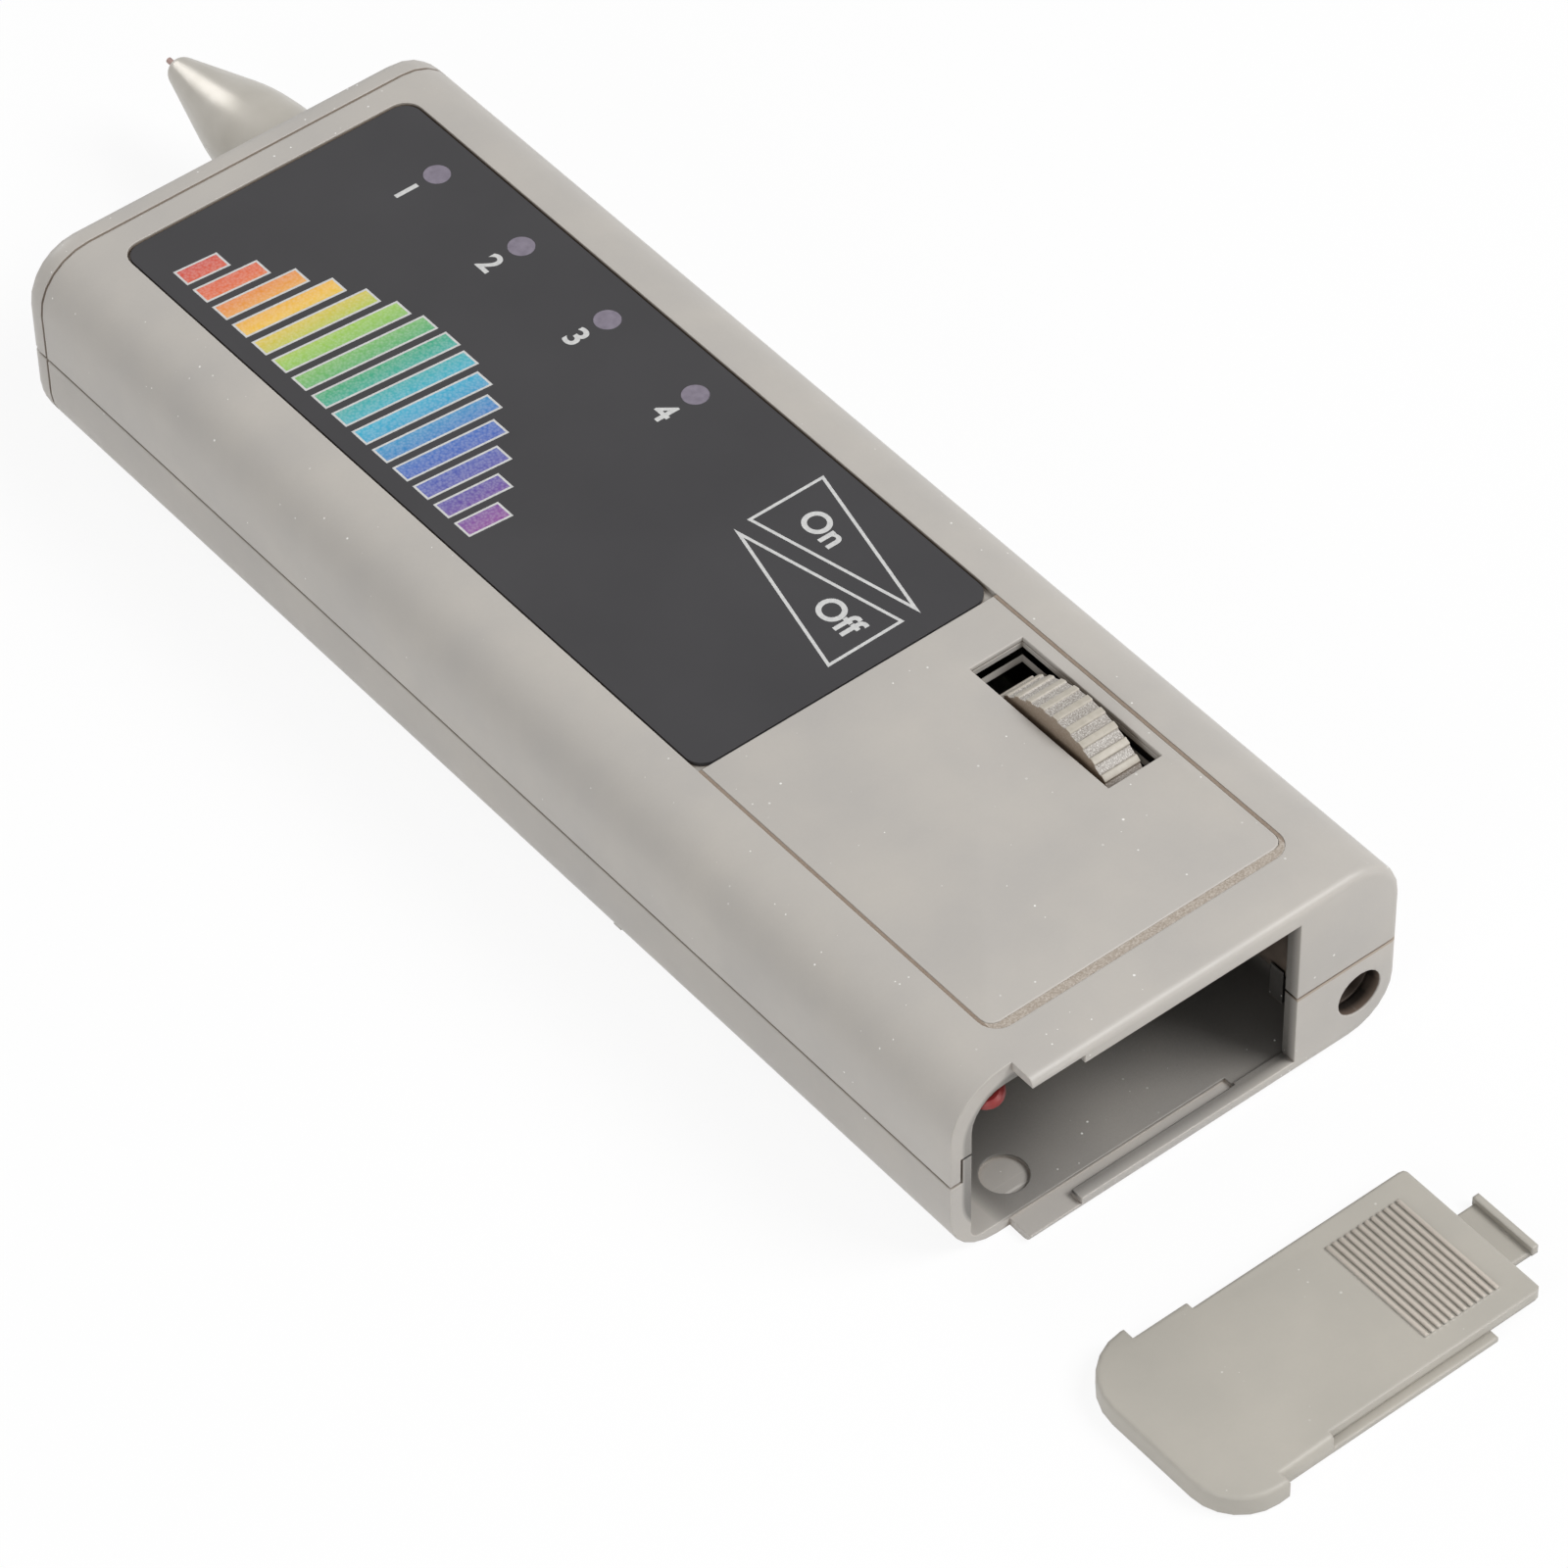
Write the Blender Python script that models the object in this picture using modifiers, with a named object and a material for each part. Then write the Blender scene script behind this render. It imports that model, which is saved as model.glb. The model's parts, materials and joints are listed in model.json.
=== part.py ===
"""Hand-held thermal tester for gemstones, in metres, +Z up.

A moulded case in two shells carries a circuit board, a spring-loaded heated tip in a conical probe,
a thumbwheel switch and an open battery bay. The bay's sliding cover lies on the table behind the battery end.
+Y runs to the probe, +X to the side of the wheel and the adapter jack.
The origin is the middle of the case's underside.
"""

import math

import bmesh
import bpy
from mathutils import Matrix, Vector

MM = 0.001

# Clearances and mesh settings
GAP = 0.3 * MM
OVERRUN = 1.0 * MM
WELD = 0.01 * MM
FLAT_ANGLE = math.radians(0.5)
RIM_ANGLE = math.radians(60)
SMOOTH_ANGLE = math.radians(35)
CORNER_STEPS = 6
RIM_STEPS = 3
ROUND_STEPS = 24
SMALL_STEPS = 12
TINY_STEPS = 8

# Case
CASE_WIDTH = 57.0 * MM
CASE_HEIGHT = 24.8 * MM
CASE_LENGTH = 162.4 * MM
TOP_EDGE_RADIUS = 7.0 * MM
BOTTOM_EDGE_RADIUS = 6.2 * MM
FRONT_RIM_RADIUS = 2.0 * MM
REAR_RIM_RADIUS = 1.0 * MM
SIDE_WALL = 2.7 * MM
TOP_WALL = 2.6 * MM
FLOOR = 1.4 * MM
FLOOR_FILLET = 1.5 * MM
FRONT_WALL = 2.4 * MM
END_WALL = 1.9 * MM
SEAM_SHARE = 0.4556
TONGUE_HEIGHT = 3.4 * MM
TONGUE_THICKNESS = 1.1 * MM
FRONT_LINE_SETBACK = 3.4 * MM
FRONT_LINE_WIDTH = 0.35 * MM
FRONT_LINE_DEPTH = 0.3 * MM

# Battery mouth: the corner left of the lips is set back, and the rails start further right
MOUTH_RIGHT_SETBACK = 13.85 * MM
LIP_SETBACK = 7.8 * MM
RAIL_SETBACK = 14.6 * MM
SLOT_LENGTH = 21.9 * MM
RAIL_DEPTH = 1.6 * MM
COVER_SEAT = 3.2 * MM
RAIL_HEIGHT = 1.8 * MM
SLOT_FLOOR = 1.0 * MM
UPPER_RAIL_THICKNESS = 2.2 * MM
UPPER_SLOT_THICKNESS = 1.1 * MM
PIN_MARK_RADIUS = 2.65 * MM
PIN_MARK_DEPTH = 0.5 * MM
PIN_MARK_SETBACK = 7.75 * MM
PIN_MARK_FROM_SIDE = 10.9 * MM

# Battery bay
BATTERY_WIDTH = 26.5 * MM
BAY_LENGTH = 55.6 * MM
BAY_RIB = 1.2 * MM
BAY_RIB_HEIGHT = 7.6 * MM
BAY_RIB_START = 17.3 * MM
BAY_SLACK = 0.6 * MM

# Label and panel in one recess of the top face
RECESS_MARGIN = 8.6 * MM
RECESS_DEPTH = 0.7 * MM
RECESS_REAR = 7.0 * MM
RECESS_FRONT = 6.8 * MM
RECESS_CORNER = 2.4 * MM
LABEL_THICKNESS = 0.45 * MM
LABEL_CORNER = 2.2 * MM
PANEL_LENGTH = 45.6 * MM
PANEL_REAR_GROOVE = 1.1 * MM
PANEL_SIDE_GROOVE = 0.45 * MM
PANEL_CORNER = 1.4 * MM
SHEET_LIFT = 0.1 * MM

# Lamps and their windows
LAMP_COUNT = 4
LAMP_PITCH = 15.3 * MM
LAMP_FRONT_SETBACK = 19.0 * MM
LAMP_INSET = 13.9 * MM
WINDOW_RADIUS = 1.55 * MM
LAMP_RADIUS = 1.5 * MM
LAMP_FLANGE = 1.9 * MM
LAMP_FLANGE_HEIGHT = 1.0 * MM
LAMP_LENGTH = 5.3 * MM
LAMP_LEG_RADIUS = 0.25 * MM
LAMP_LEG_PITCH = 2.54 * MM

# Thumbwheel
WHEEL_INSET = 14.6 * MM
WHEEL_SETBACK = 34.6 * MM
WHEEL_PROUD = 2.25 * MM
WHEEL_FLOOR_ROOM = 1.55 * MM
RIDGE_DEPTH = 0.27 * MM
WHEEL_WIDTH = 4.8 * MM
WHEEL_RIDGES = 36
RIDGE_TIP_SHARE = 0.38
RIDGE_ROOT_SHARE = 0.5
WHEEL_RIM = 2.0 * MM
WHEEL_DISH_DEPTH = 1.2 * MM
WHEEL_SLOT_WIDTH = 7.2 * MM
WHEEL_SLOT_LENGTH = 22.0 * MM
WHEEL_SLOT_SETBACK = 25.2 * MM
WHEEL_SLOT_INSET = 14.15 * MM
AXLE_RADIUS = 1.5 * MM
AXLE_LENGTH = 9.6 * MM
AXLE_IN_WHEEL = 3.6 * MM

# Rotary switch under the wheel
SWITCH_WIDTH = 5.6 * MM
SWITCH_LENGTH = 13.0 * MM
SWITCH_ROOM = 1.5 * MM
SWITCH_CORNER = 1.0 * MM
SWITCH_PIN_COUNT = 3
SWITCH_PIN_PITCH = 3.8 * MM
SWITCH_PIN_RADIUS = 0.5 * MM
SWITCH_PIN_LENGTH = 4.4 * MM

# Probe, its axis on the seam
PROBE_INSET = 17.3 * MM
PROBE_RADIUS = 6.1 * MM
PROBE_REACH = 28.8 * MM
PIN_REACH = 1.13 * MM
PIN_RADIUS = 0.375 * MM
PIN_HOLE_RADIUS = 0.7 * MM
NOSE_END_RADIUS = 1.9 * MM
NOSE_SHOULDER_RADIUS = 32.0 * MM
CONE_HALF_ANGLE = math.radians(16.6)
NOSE_INSIDE = 12.4 * MM
COLLAR_RADIUS = 7.4 * MM
COLLAR_LENGTH = 3.0 * MM
NOSE_BORE = 3.9 * MM
NOSE_THROAT = 1.3 * MM
THROAT_LENGTH = 3.6 * MM
BORE_LENGTH = 26.0 * MM
CRADLE_LENGTH = 2.9 * MM
CRADLE_SIDE = 2.1 * MM

# Sliding tip, its guide, spring and heater
TIP_TRAVEL = 0.7 * MM
PIN_LENGTH = 5.2 * MM
ROD_RADIUS = 0.85 * MM
ROD_END_ROOM = 1.4 * MM
GUIDE_LENGTH = 22.6 * MM
GUIDE_COLLAR = 2.0 * MM
SPRING_CHAMBER_RADIUS = 2.9 * MM
SPRING_CHAMBER_LENGTH = 11.8 * MM
HEATER_CHAMBER_RADIUS = 2.6 * MM
SPRING_OUTER_RADIUS = 2.4 * MM
SPRING_WALL = 1.0 * MM
SEAT_LENGTH = 1.0 * MM
HEATER_RADIUS = 1.9 * MM
HEATER_LENGTH = 4.0 * MM
PLUG_FLANGE_LENGTH = 1.0 * MM
PLUG_SPIGOT_LENGTH = 2.6 * MM
PROBE_LEAD_RADIUS = 0.5 * MM
PROBE_LEAD_PITCH = 2.6 * MM
PROBE_LEAD_LENGTH = 4.6 * MM

# Circuit board
BOARD_CLEARANCE = 0.4 * MM
BOARD_THICKNESS = 1.6 * MM
BOARD_DROP = 1.9 * MM
BOARD_FRONT_SETBACK = 15.4 * MM
BOARD_REAR_SETBACK = 62.0 * MM
TAIL_REAR_SETBACK = 19.0 * MM
TAIL_CLEARANCE = 0.5 * MM
WHEEL_CLEARANCE = 0.6 * MM
POST_RADIUS = 2.2 * MM
POST_INSET = 3.5 * MM
POST_FROM_REAR = 4.0 * MM
POST_FROM_FRONT = 10.0 * MM
BOARD_SCREW_RADIUS = 0.9 * MM
BOARD_SCREW_HEAD_RADIUS = 1.8 * MM
BOARD_SCREW_HEAD = 1.2 * MM
BOARD_SCREW_LENGTH = 6.0 * MM

# Case screws and their columns
COLUMN_INSET = 6.5 * MM
COLUMN_RADIUS = 3.6 * MM
COLUMN_ROOT = 0.2 * MM
UPPER_COLUMN_RADIUS = 3.2 * MM
SCREW_RADIUS = 1.2 * MM
SCREW_HEAD_RADIUS = 2.3 * MM
SCREW_HEAD_HEIGHT = 1.8 * MM
SCREW_SINK = 0.4 * MM
SCREW_LENGTH = 17.4 * MM
SCREW_CROSS_WIDTH = 0.6 * MM
SCREW_CROSS_LENGTH = 2.6 * MM
SCREW_CROSS_DEPTH = 0.9 * MM
FRONT_COLUMN_SETBACK = 10.4 * MM
MIDDLE_COLUMN_SETBACK = 66.0 * MM
REAR_COLUMN_SETBACK = 19.2 * MM

# Adapter jack
JACK_INSET = 5.14 * MM
JACK_HEIGHT = 6.2 * MM
JACK_HOLE_RADIUS = 2.9 * MM
JACK_RADIUS = 3.8 * MM
JACK_BORE = 3.0 * MM
JACK_LENGTH = 11.7 * MM
JACK_BASE = 1.5 * MM
JACK_PIN_RADIUS = 0.8 * MM
JACK_PIN_SETBACK = 4.4 * MM
JACK_CRADLE_LENGTH = 2.0 * MM

# Touch plate under the case
PLATE_WIDTH = 22.0 * MM
PLATE_LENGTH = 40.0 * MM
PLATE_CORNER = 2.0 * MM
PLATE_THICKNESS = 0.4 * MM
PLATE_SINK = 0.1 * MM
PLATE_START = 12.0 * MM
STUD_RADIUS = 1.0 * MM
CONTACT_RADIUS = 0.8 * MM

# Chips and how many legs a side has
CHIP_WIDTH = 6.4 * MM
CHIP_HEIGHT = 3.3 * MM
CHIP_LIFT = 0.5 * MM
CHIP_LEG_PITCH = 2.54 * MM
CHIP_LEG_WIDTH = 0.8 * MM
CHIP_LEG_THICKNESS = 0.5 * MM
CHIP_LEG_TOP = 2.0 * MM
CHIP_END = 1.0 * MM
CHIP_NOTCH = 0.9 * MM
AMPLIFIER_LEGS = 7
COMPARATOR_LEGS = 4

# Capacitors, resistors, transistors, trimmers and the buzzer
CAPACITOR_RADIUS = 3.2 * MM
CAPACITOR_ROOM = 1.9 * MM
CAPACITOR_GROOVE = 0.3 * MM
CAPACITOR_GROOVE_HEIGHT = 1.6 * MM
RESISTOR_COUNT = 4
RESISTOR_RADIUS = 1.1 * MM
RESISTOR_WAIST = 0.9 * MM
RESISTOR_LENGTH = 6.2 * MM
RESISTOR_WIRE = 0.3 * MM
RESISTOR_WIRE_LENGTH = 2.0 * MM
RESISTOR_CAP = 1.2 * MM
RESISTOR_PITCH = 3.4 * MM
TRANSISTOR_RADIUS = 2.3 * MM
TRANSISTOR_HEIGHT = 4.8 * MM
TRANSISTOR_LIFT = 2.0 * MM
TRANSISTOR_LEG_PITCH = 1.27 * MM
TRANSISTOR_LEG = 0.22 * MM
TRIMMER_SIZE = 6.4 * MM
TRIMMER_HEIGHT = 4.4 * MM
TRIMMER_DIAL_RADIUS = 2.1 * MM
TRIMMER_DIAL_HEIGHT = 0.6 * MM
BUZZER_RADIUS = 6.0 * MM
BUZZER_ROOM = 2.9 * MM
BUZZER_HOLE = 1.0 * MM
BUZZER_WALL = 1.2 * MM

# Places on the board, as shares of its half width and of its length from the rear
AMPLIFIER_SHARES = (-0.333, 0.465)
COMPARATOR_SHARES = (-0.333, 0.22)
CAPACITOR_SHARES = ((-0.694, 0.7), (-0.194, 0.7), (0.444, 0.053))
RESISTOR_SHARES = (0.311, 0.188)
TRANSISTOR_SHARES = ((0.222, 0.506), (0.222, 0.6))
TRIMMER_SHARES = ((-0.756, 0.494), (-0.756, 0.259))
BUZZER_SHARES = (-0.222, 0.875)

# Battery snap and its leads
SNAP_TOP_SHARE = 0.509
SNAP_THICKNESS = 4.0 * MM
SNAP_CORNER = 3.0 * MM
SNAP_RAISE = 4.2 * MM
SNAP_CONTACT_PITCH = 12.7 * MM
SNAP_CONTACT_HEIGHT = 2.5 * MM
STUD_TOP_RADIUS = 2.8 * MM
STUD_NECK_RADIUS = 2.2 * MM
SOCKET_RADIUS = 3.3 * MM
SOCKET_BORE = 2.4 * MM
LEAD_RADIUS = 0.65 * MM

# The leads' routes in millimetres, from the case's left side and from its rear end,
# and how high each point is, as a share of the way up from the board's top to the ceiling
RED_LEAD_ROUTE = (
    (8.1, 56.5),
    (8.1, 56.5),
    (8.1, 54.0),
    (8.1, 48.0),
    (8.1, 30.0),
    (8.1, 12.0),
    (7.6, 6.6),
    (6.9, 4.0),
    (5.6, 3.1),
    (4.5, 4.0),
    (4.15, 6.6),
    (4.3, 14.0),
    (4.3, 34.0),
    (4.3, 52.0),
    (6.5, 57.5),
    (11.5, 60.8),
    (16.0, 65.0),
    (17.6, 68.3),
    (18.0, 70.5),
)
RED_LEAD_SHARES = (
    0.536, 0.688, 0.875, 0.911, 0.911, 0.911, 0.908,
    0.895, 0.87, 0.84, 0.815, 0.795, 0.795, 0.795,
    0.768, 0.625, 0.357, 0.134, 0.112,
)
BLACK_LEAD_ROUTE = (
    (12.1, 56.5),
    (12.1, 56.5),
    (12.3, 58.2),
    (14.0, 61.8),
    (19.5, 65.0),
    (21.3, 67.5),
    (21.5, 69.5),
)
BLACK_LEAD_SHARES = (
    0.536, 0.688, 0.83, 0.714, 0.357, 0.134, 0.112,
)

# Battery cover, shaped for its seat in the mouth
COVER_THICKNESS = 2.9 * MM
COVER_PLATE = 1.3 * MM
COVER_RIM_RADIUS = 0.45 * MM
COVER_BACK_EDGE = 0.4 * MM
COVER_CORNER = 1.0 * MM
COVER_GROOVE = 0.6 * MM
COVER_WEB_INSET = 0.7 * MM
COVER_BACK_RIM = 3.0 * MM
TONGUE_WIDTH = 8.8 * MM
TONGUE_REACH = 4.2 * MM
TONGUE_BLOCK = 2.6 * MM
TONGUE_SHEET = 0.7 * MM
CATCH_LENGTH = 0.8 * MM
CATCH_HEIGHT = 0.8 * MM
GRIP_COUNT = 12
GRIP_PITCH = 0.86 * MM
GRIP_WIDTH = 0.5 * MM
GRIP_HEIGHT = 0.35 * MM
GRIP_LENGTH = 14.8 * MM
GRIP_FROM_END = 3.4 * MM
COVER_DISTANCE = 15.9 * MM
COVER_SHIFT = 1.1 * MM

# Places worked out from the sizes above
REAR = -CASE_LENGTH / 2
FRONT = CASE_LENGTH / 2
SIDE = CASE_WIDTH / 2
INNER_SIDE = SIDE - SIDE_WALL
CEILING = CASE_HEIGHT - TOP_WALL
SEAM_HEIGHT = CASE_HEIGHT * SEAM_SHARE
MOUTH_RIGHT = SIDE - MOUTH_RIGHT_SETBACK
LIP_LEFT = LIP_SETBACK - SIDE
RAIL_LEFT = RAIL_SETBACK - SIDE
SLOT_RIGHT = RAIL_LEFT + SLOT_LENGTH
UPPER_RAIL = CASE_HEIGHT - UPPER_RAIL_THICKNESS
UPPER_SLOT = CASE_HEIGHT - UPPER_SLOT_THICKNESS
RECESS_FLOOR = CASE_HEIGHT - RECESS_DEPTH
RECESS_REAR_EDGE = REAR + RECESS_REAR
RECESS_FRONT_EDGE = FRONT - RECESS_FRONT
LABEL_FRONT = RECESS_FRONT_EDGE - GAP
RECESS_SIDE = SIDE - RECESS_MARGIN
PANEL_REAR = RECESS_REAR_EDGE + PANEL_REAR_GROOVE
PANEL_FRONT = PANEL_REAR + PANEL_LENGTH
LABEL_REAR = PANEL_FRONT + GAP
COLUMN_OFFSET = SIDE - COLUMN_INSET
BOARD_UNDERSIDE = SEAM_HEIGHT - BOARD_DROP
BOARD_TOP = BOARD_UNDERSIDE + BOARD_THICKNESS
BOARD_FRONT = FRONT - BOARD_FRONT_SETBACK
BOARD_REAR = REAR + BOARD_REAR_SETBACK
BOARD_SIDE = COLUMN_OFFSET - COLUMN_RADIUS - BOARD_CLEARANCE
TAIL_REAR = REAR + TAIL_REAR_SETBACK
BAY_LEFT = -INNER_SIDE
BAY_RIGHT = BAY_LEFT + BATTERY_WIDTH + BAY_SLACK
BAY_END = REAR + COVER_SEAT + BAY_LENGTH
TAIL_LEFT = BAY_RIGHT + BAY_RIB + TAIL_CLEARANCE
SNAP_TOP = BOARD_TOP + SNAP_TOP_SHARE * (CEILING - BOARD_TOP)
LAMP_OFFSET = SIDE - LAMP_INSET
WHEEL_OFFSET = SIDE - WHEEL_INSET
WHEEL_Y = REAR + WHEEL_SETBACK
WHEEL_TOP = CASE_HEIGHT + WHEEL_PROUD
WHEEL_RADIUS = (WHEEL_TOP - FLOOR - WHEEL_FLOOR_ROOM) / 2
WHEEL_HEIGHT = WHEEL_TOP - WHEEL_RADIUS
WHEEL_ROOT_RADIUS = WHEEL_RADIUS - RIDGE_DEPTH
WHEEL_SLOT_LEFT = SIDE - WHEEL_SLOT_INSET - WHEEL_SLOT_WIDTH / 2
WHEEL_LEFT = WHEEL_OFFSET - WHEEL_WIDTH / 2
SEAM_LOW = SEAM_HEIGHT - GAP / 2
SEAM_HIGH = SEAM_HEIGHT + GAP / 2
PROBE_OFFSET = SIDE - PROBE_INSET
TIP_Y = FRONT + PROBE_REACH
NOSE_END = TIP_Y - PIN_REACH
PROBE_HOLE = PROBE_RADIUS + GAP
NOSE_REAR = FRONT - NOSE_INSIDE
COLLAR_FRONT = FRONT - FRONT_WALL - GAP
COLLAR_REAR = COLLAR_FRONT - COLLAR_LENGTH
PLUG_FRONT = NOSE_REAR + PLUG_SPIGOT_LENGTH
GUIDE_REAR = PLUG_FRONT + GAP
GUIDE_FRONT = GUIDE_REAR + GUIDE_LENGTH
CHAMBER_FRONT = GUIDE_FRONT - GUIDE_COLLAR
CHAMBER_REAR = CHAMBER_FRONT - SPRING_CHAMBER_LENGTH
ROD_FRONT = TIP_Y - PIN_LENGTH
ROD_REAR = PLUG_FRONT + TIP_TRAVEL + ROD_END_ROOM
JACK_OFFSET = SIDE - JACK_INSET
JACK_FACE = REAR + END_WALL + GAP

# Colours, roughness and metal of each finish
FINISHES = {
    "case_plastic": ((0.49, 0.46, 0.41), 0.5, 0.0),
    "label_film": ((0.07, 0.07, 0.075), 0.32, 0.0),
    "window_film": ((0.42, 0.4, 0.45), 0.3, 0.0),
    "probe_paint": ((0.55, 0.53, 0.49), 0.3, 0.0),
    "copper": ((0.55, 0.27, 0.18), 0.35, 1.0),
    "steel": ((0.6, 0.6, 0.62), 0.3, 1.0),
    "board_laminate": ((0.03, 0.17, 0.07), 0.45, 0.0),
    "black_plastic": ((0.02, 0.02, 0.02), 0.45, 0.0),
    "lamp_resin": ((0.55, 0.1, 0.08), 0.15, 0.0),
    "part_body": ((0.1, 0.13, 0.2), 0.4, 0.0),
    "insulator": ((0.75, 0.72, 0.62), 0.5, 0.0),
    "red_rubber": ((0.5, 0.03, 0.02), 0.4, 0.0),
    "black_rubber": ((0.015, 0.015, 0.015), 0.45, 0.0),
}

# Turns that stand a shape made along Z up along another axis
ALONG_Y = Matrix.Rotation(math.radians(-90), 4, "X")
OUTLINE_XZ = Matrix.Rotation(math.radians(90), 4, "X")
ALONG_X = Matrix(((0, 0, 1, 0), (1, 0, 0, 0), (0, 1, 0, 0), (0, 0, 0, 1)))
UPRIGHT = Matrix.Identity(4)


# Scene and collections
for old in list(bpy.data.objects):
    bpy.data.objects.remove(old, do_unlink=True)

parts = bpy.data.collections.new("diamond_tester")
cutters = bpy.data.collections.new("cutters")
bpy.context.scene.collection.children.link(parts)
bpy.context.scene.collection.children.link(cutters)
cutters.hide_render = True

materials = {}


def finish(name):
    """The material of one finish, made once."""
    if name not in materials:
        colour, roughness, metallic = FINISHES[name]
        material = bpy.data.materials.new(name)
        material.use_nodes = True
        shader = material.node_tree.nodes["Principled BSDF"]
        shader.inputs["Base Color"].default_value = (*colour, 1)
        shader.inputs["Roughness"].default_value = roughness
        shader.inputs["Metallic"].default_value = metallic
        material.diffuse_color = (*colour, 1)
        materials[name] = material
    return materials[name]


# Basic shapes
def tool(name, mesh, location=(0, 0, 0)):
    """A shape that only cuts or joins others."""
    shape = bpy.data.objects.new(name, mesh)
    shape.location = location
    shape.hide_render = True
    shape.display_type = "WIRE"
    cutters.objects.link(shape)
    return shape


def piece(name, shape, finish_name):
    """Turns a shape into a named piece of the object with its finish."""
    cutters.objects.unlink(shape)
    parts.objects.link(shape)
    shape.hide_render = False
    shape.display_type = "TEXTURED"
    shape.name = name
    shape.data.name = name
    shape.data.materials.clear()
    shape.data.materials.append(finish(finish_name))
    shape.data.shade_smooth()
    shape.data.set_sharp_from_angle(angle=SMOOTH_ANGLE)
    return shape


def finished_mesh(shape):
    """The evaluated mesh of a shape, welded, with the shape removed."""
    bpy.context.view_layer.update()
    evaluated = shape.evaluated_get(bpy.context.evaluated_depsgraph_get())
    mesh = bpy.data.meshes.new_from_object(evaluated)
    bpy.data.objects.remove(shape, do_unlink=True)
    solid = bmesh.new()
    solid.from_mesh(mesh)
    bmesh.ops.remove_doubles(solid, verts=solid.verts, dist=WELD)
    bmesh.ops.dissolve_limit(solid, angle_limit=FLAT_ANGLE, verts=solid.verts, edges=solid.edges)
    bmesh.ops.recalc_face_normals(solid, faces=solid.faces)
    solid.to_mesh(mesh)
    solid.free()
    return mesh


def box(name, low, high):
    """A box between two corners."""
    size = Vector(high) - Vector(low)
    solid = bmesh.new()
    bmesh.ops.create_cube(solid, size=1, matrix=Matrix.Diagonal((*size, 1)))
    mesh = bpy.data.meshes.new(name)
    solid.to_mesh(mesh)
    solid.free()
    return tool(name, mesh, (Vector(low) + Vector(high)) / 2)


def rod(name, radius, start, end, turn=UPRIGHT, steps=SMALL_STEPS, end_radius=None):
    """A straight round bar between two points that lie along the turned Z axis."""
    length = (Vector(end) - Vector(start)).length
    solid = bmesh.new()
    top = radius if end_radius is None else end_radius
    bmesh.ops.create_cone(
        solid, cap_ends=True, segments=steps, radius1=radius, radius2=top, depth=length, matrix=turn
    )
    mesh = bpy.data.meshes.new(name)
    solid.to_mesh(mesh)
    solid.free()
    return tool(name, mesh, (Vector(start) + Vector(end)) / 2)


def arc(centre, radius, start_angle, end_angle, steps):
    """Points on an arc, both ends included."""
    angles = [start_angle + (end_angle - start_angle) * step / steps for step in range(steps + 1)]
    return [(centre[0] + radius * math.cos(a), centre[1] + radius * math.sin(a)) for a in angles]


def rounded_rectangle(low, high, low_radius, high_radius, right_square=False, steps=CORNER_STEPS):
    """An outline with its own corner radius at the low and at the high side, counter-clockwise."""
    quarter = math.pi / 2
    points = []
    if right_square:
        points += [(high[0], low[1]), (high[0], high[1])]
    else:
        points += arc((high[0] - low_radius, low[1] + low_radius), low_radius, -quarter, 0, steps)
        points += arc((high[0] - high_radius, high[1] - high_radius), high_radius, 0, quarter, steps)
    points += arc((low[0] + high_radius, high[1] - high_radius), high_radius, quarter, 2 * quarter, steps)
    points += arc((low[0] + low_radius, low[1] + low_radius), low_radius, 2 * quarter, 3 * quarter, steps)
    return points


def circle(centre, radius, steps):
    """A round outline."""
    return arc(centre, radius, 0, 2 * math.pi * (steps - 1) / steps, steps - 1)


def plate(name, outlines, thickness, turn=UPRIGHT, location=(0, 0, 0), rims=()):
    """A flat outline, with holes if it has more than one loop, as thick as given about its location.

    Each rim is a side, -1 or 1 along the unturned Z axis, and the radius that rounds that side's edge."""
    curve = bpy.data.curves.new(name, "CURVE")
    curve.dimensions = "2D"
    curve.fill_mode = "BOTH"
    curve.extrude = thickness / 2
    for outline in outlines:
        spline = curve.splines.new("POLY")
        spline.points.add(len(outline) - 1)
        for point, (across, along) in zip(spline.points, outline):
            point.co = (across, along, 0, 1)
        spline.use_cyclic_u = True
    flat = bpy.data.objects.new(name, curve)
    cutters.objects.link(flat)
    mesh = finished_mesh(flat)
    for side, radius in rims:
        round_rim(mesh, side * thickness / 2, radius)
    mesh.transform(turn)
    return tool(name, mesh, location)


def round_rim(mesh, level, radius):
    """Rounds the edge of a plate at one of its two faces."""
    solid = bmesh.new()
    solid.from_mesh(mesh)
    sharp = [edge for edge in solid.edges if edge.calc_face_angle() > RIM_ANGLE]
    rim = [edge for edge in sharp if all(abs(corner.co.z - level) < WELD for corner in edge.verts)]
    bmesh.ops.bevel(solid, geom=rim, offset=radius, segments=RIM_STEPS, affect="EDGES", profile=0.5)
    solid.to_mesh(mesh)
    solid.free()


def turned(name, profile, turn=UPRIGHT, location=(0, 0, 0), steps=ROUND_STEPS, closed=False):
    """A profile of (radius, height) points spun about its axis, its outer side running from top to bottom."""
    mesh = bpy.data.meshes.new(name)
    edges = [(number, number + 1) for number in range(len(profile) - 1)]
    if closed:
        edges.append((len(profile) - 1, 0))
    mesh.from_pydata([(radius, 0, height) for radius, height in profile], edges, [])
    shape = bpy.data.objects.new(name, mesh)
    cutters.objects.link(shape)
    screw = shape.modifiers.new("spin", "SCREW")
    screw.steps = steps
    screw.render_steps = steps
    screw.use_merge_vertices = True
    screw.merge_threshold = WELD
    mesh = finished_mesh(shape)
    mesh.transform(turn)
    return tool(name, mesh, location)


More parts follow.
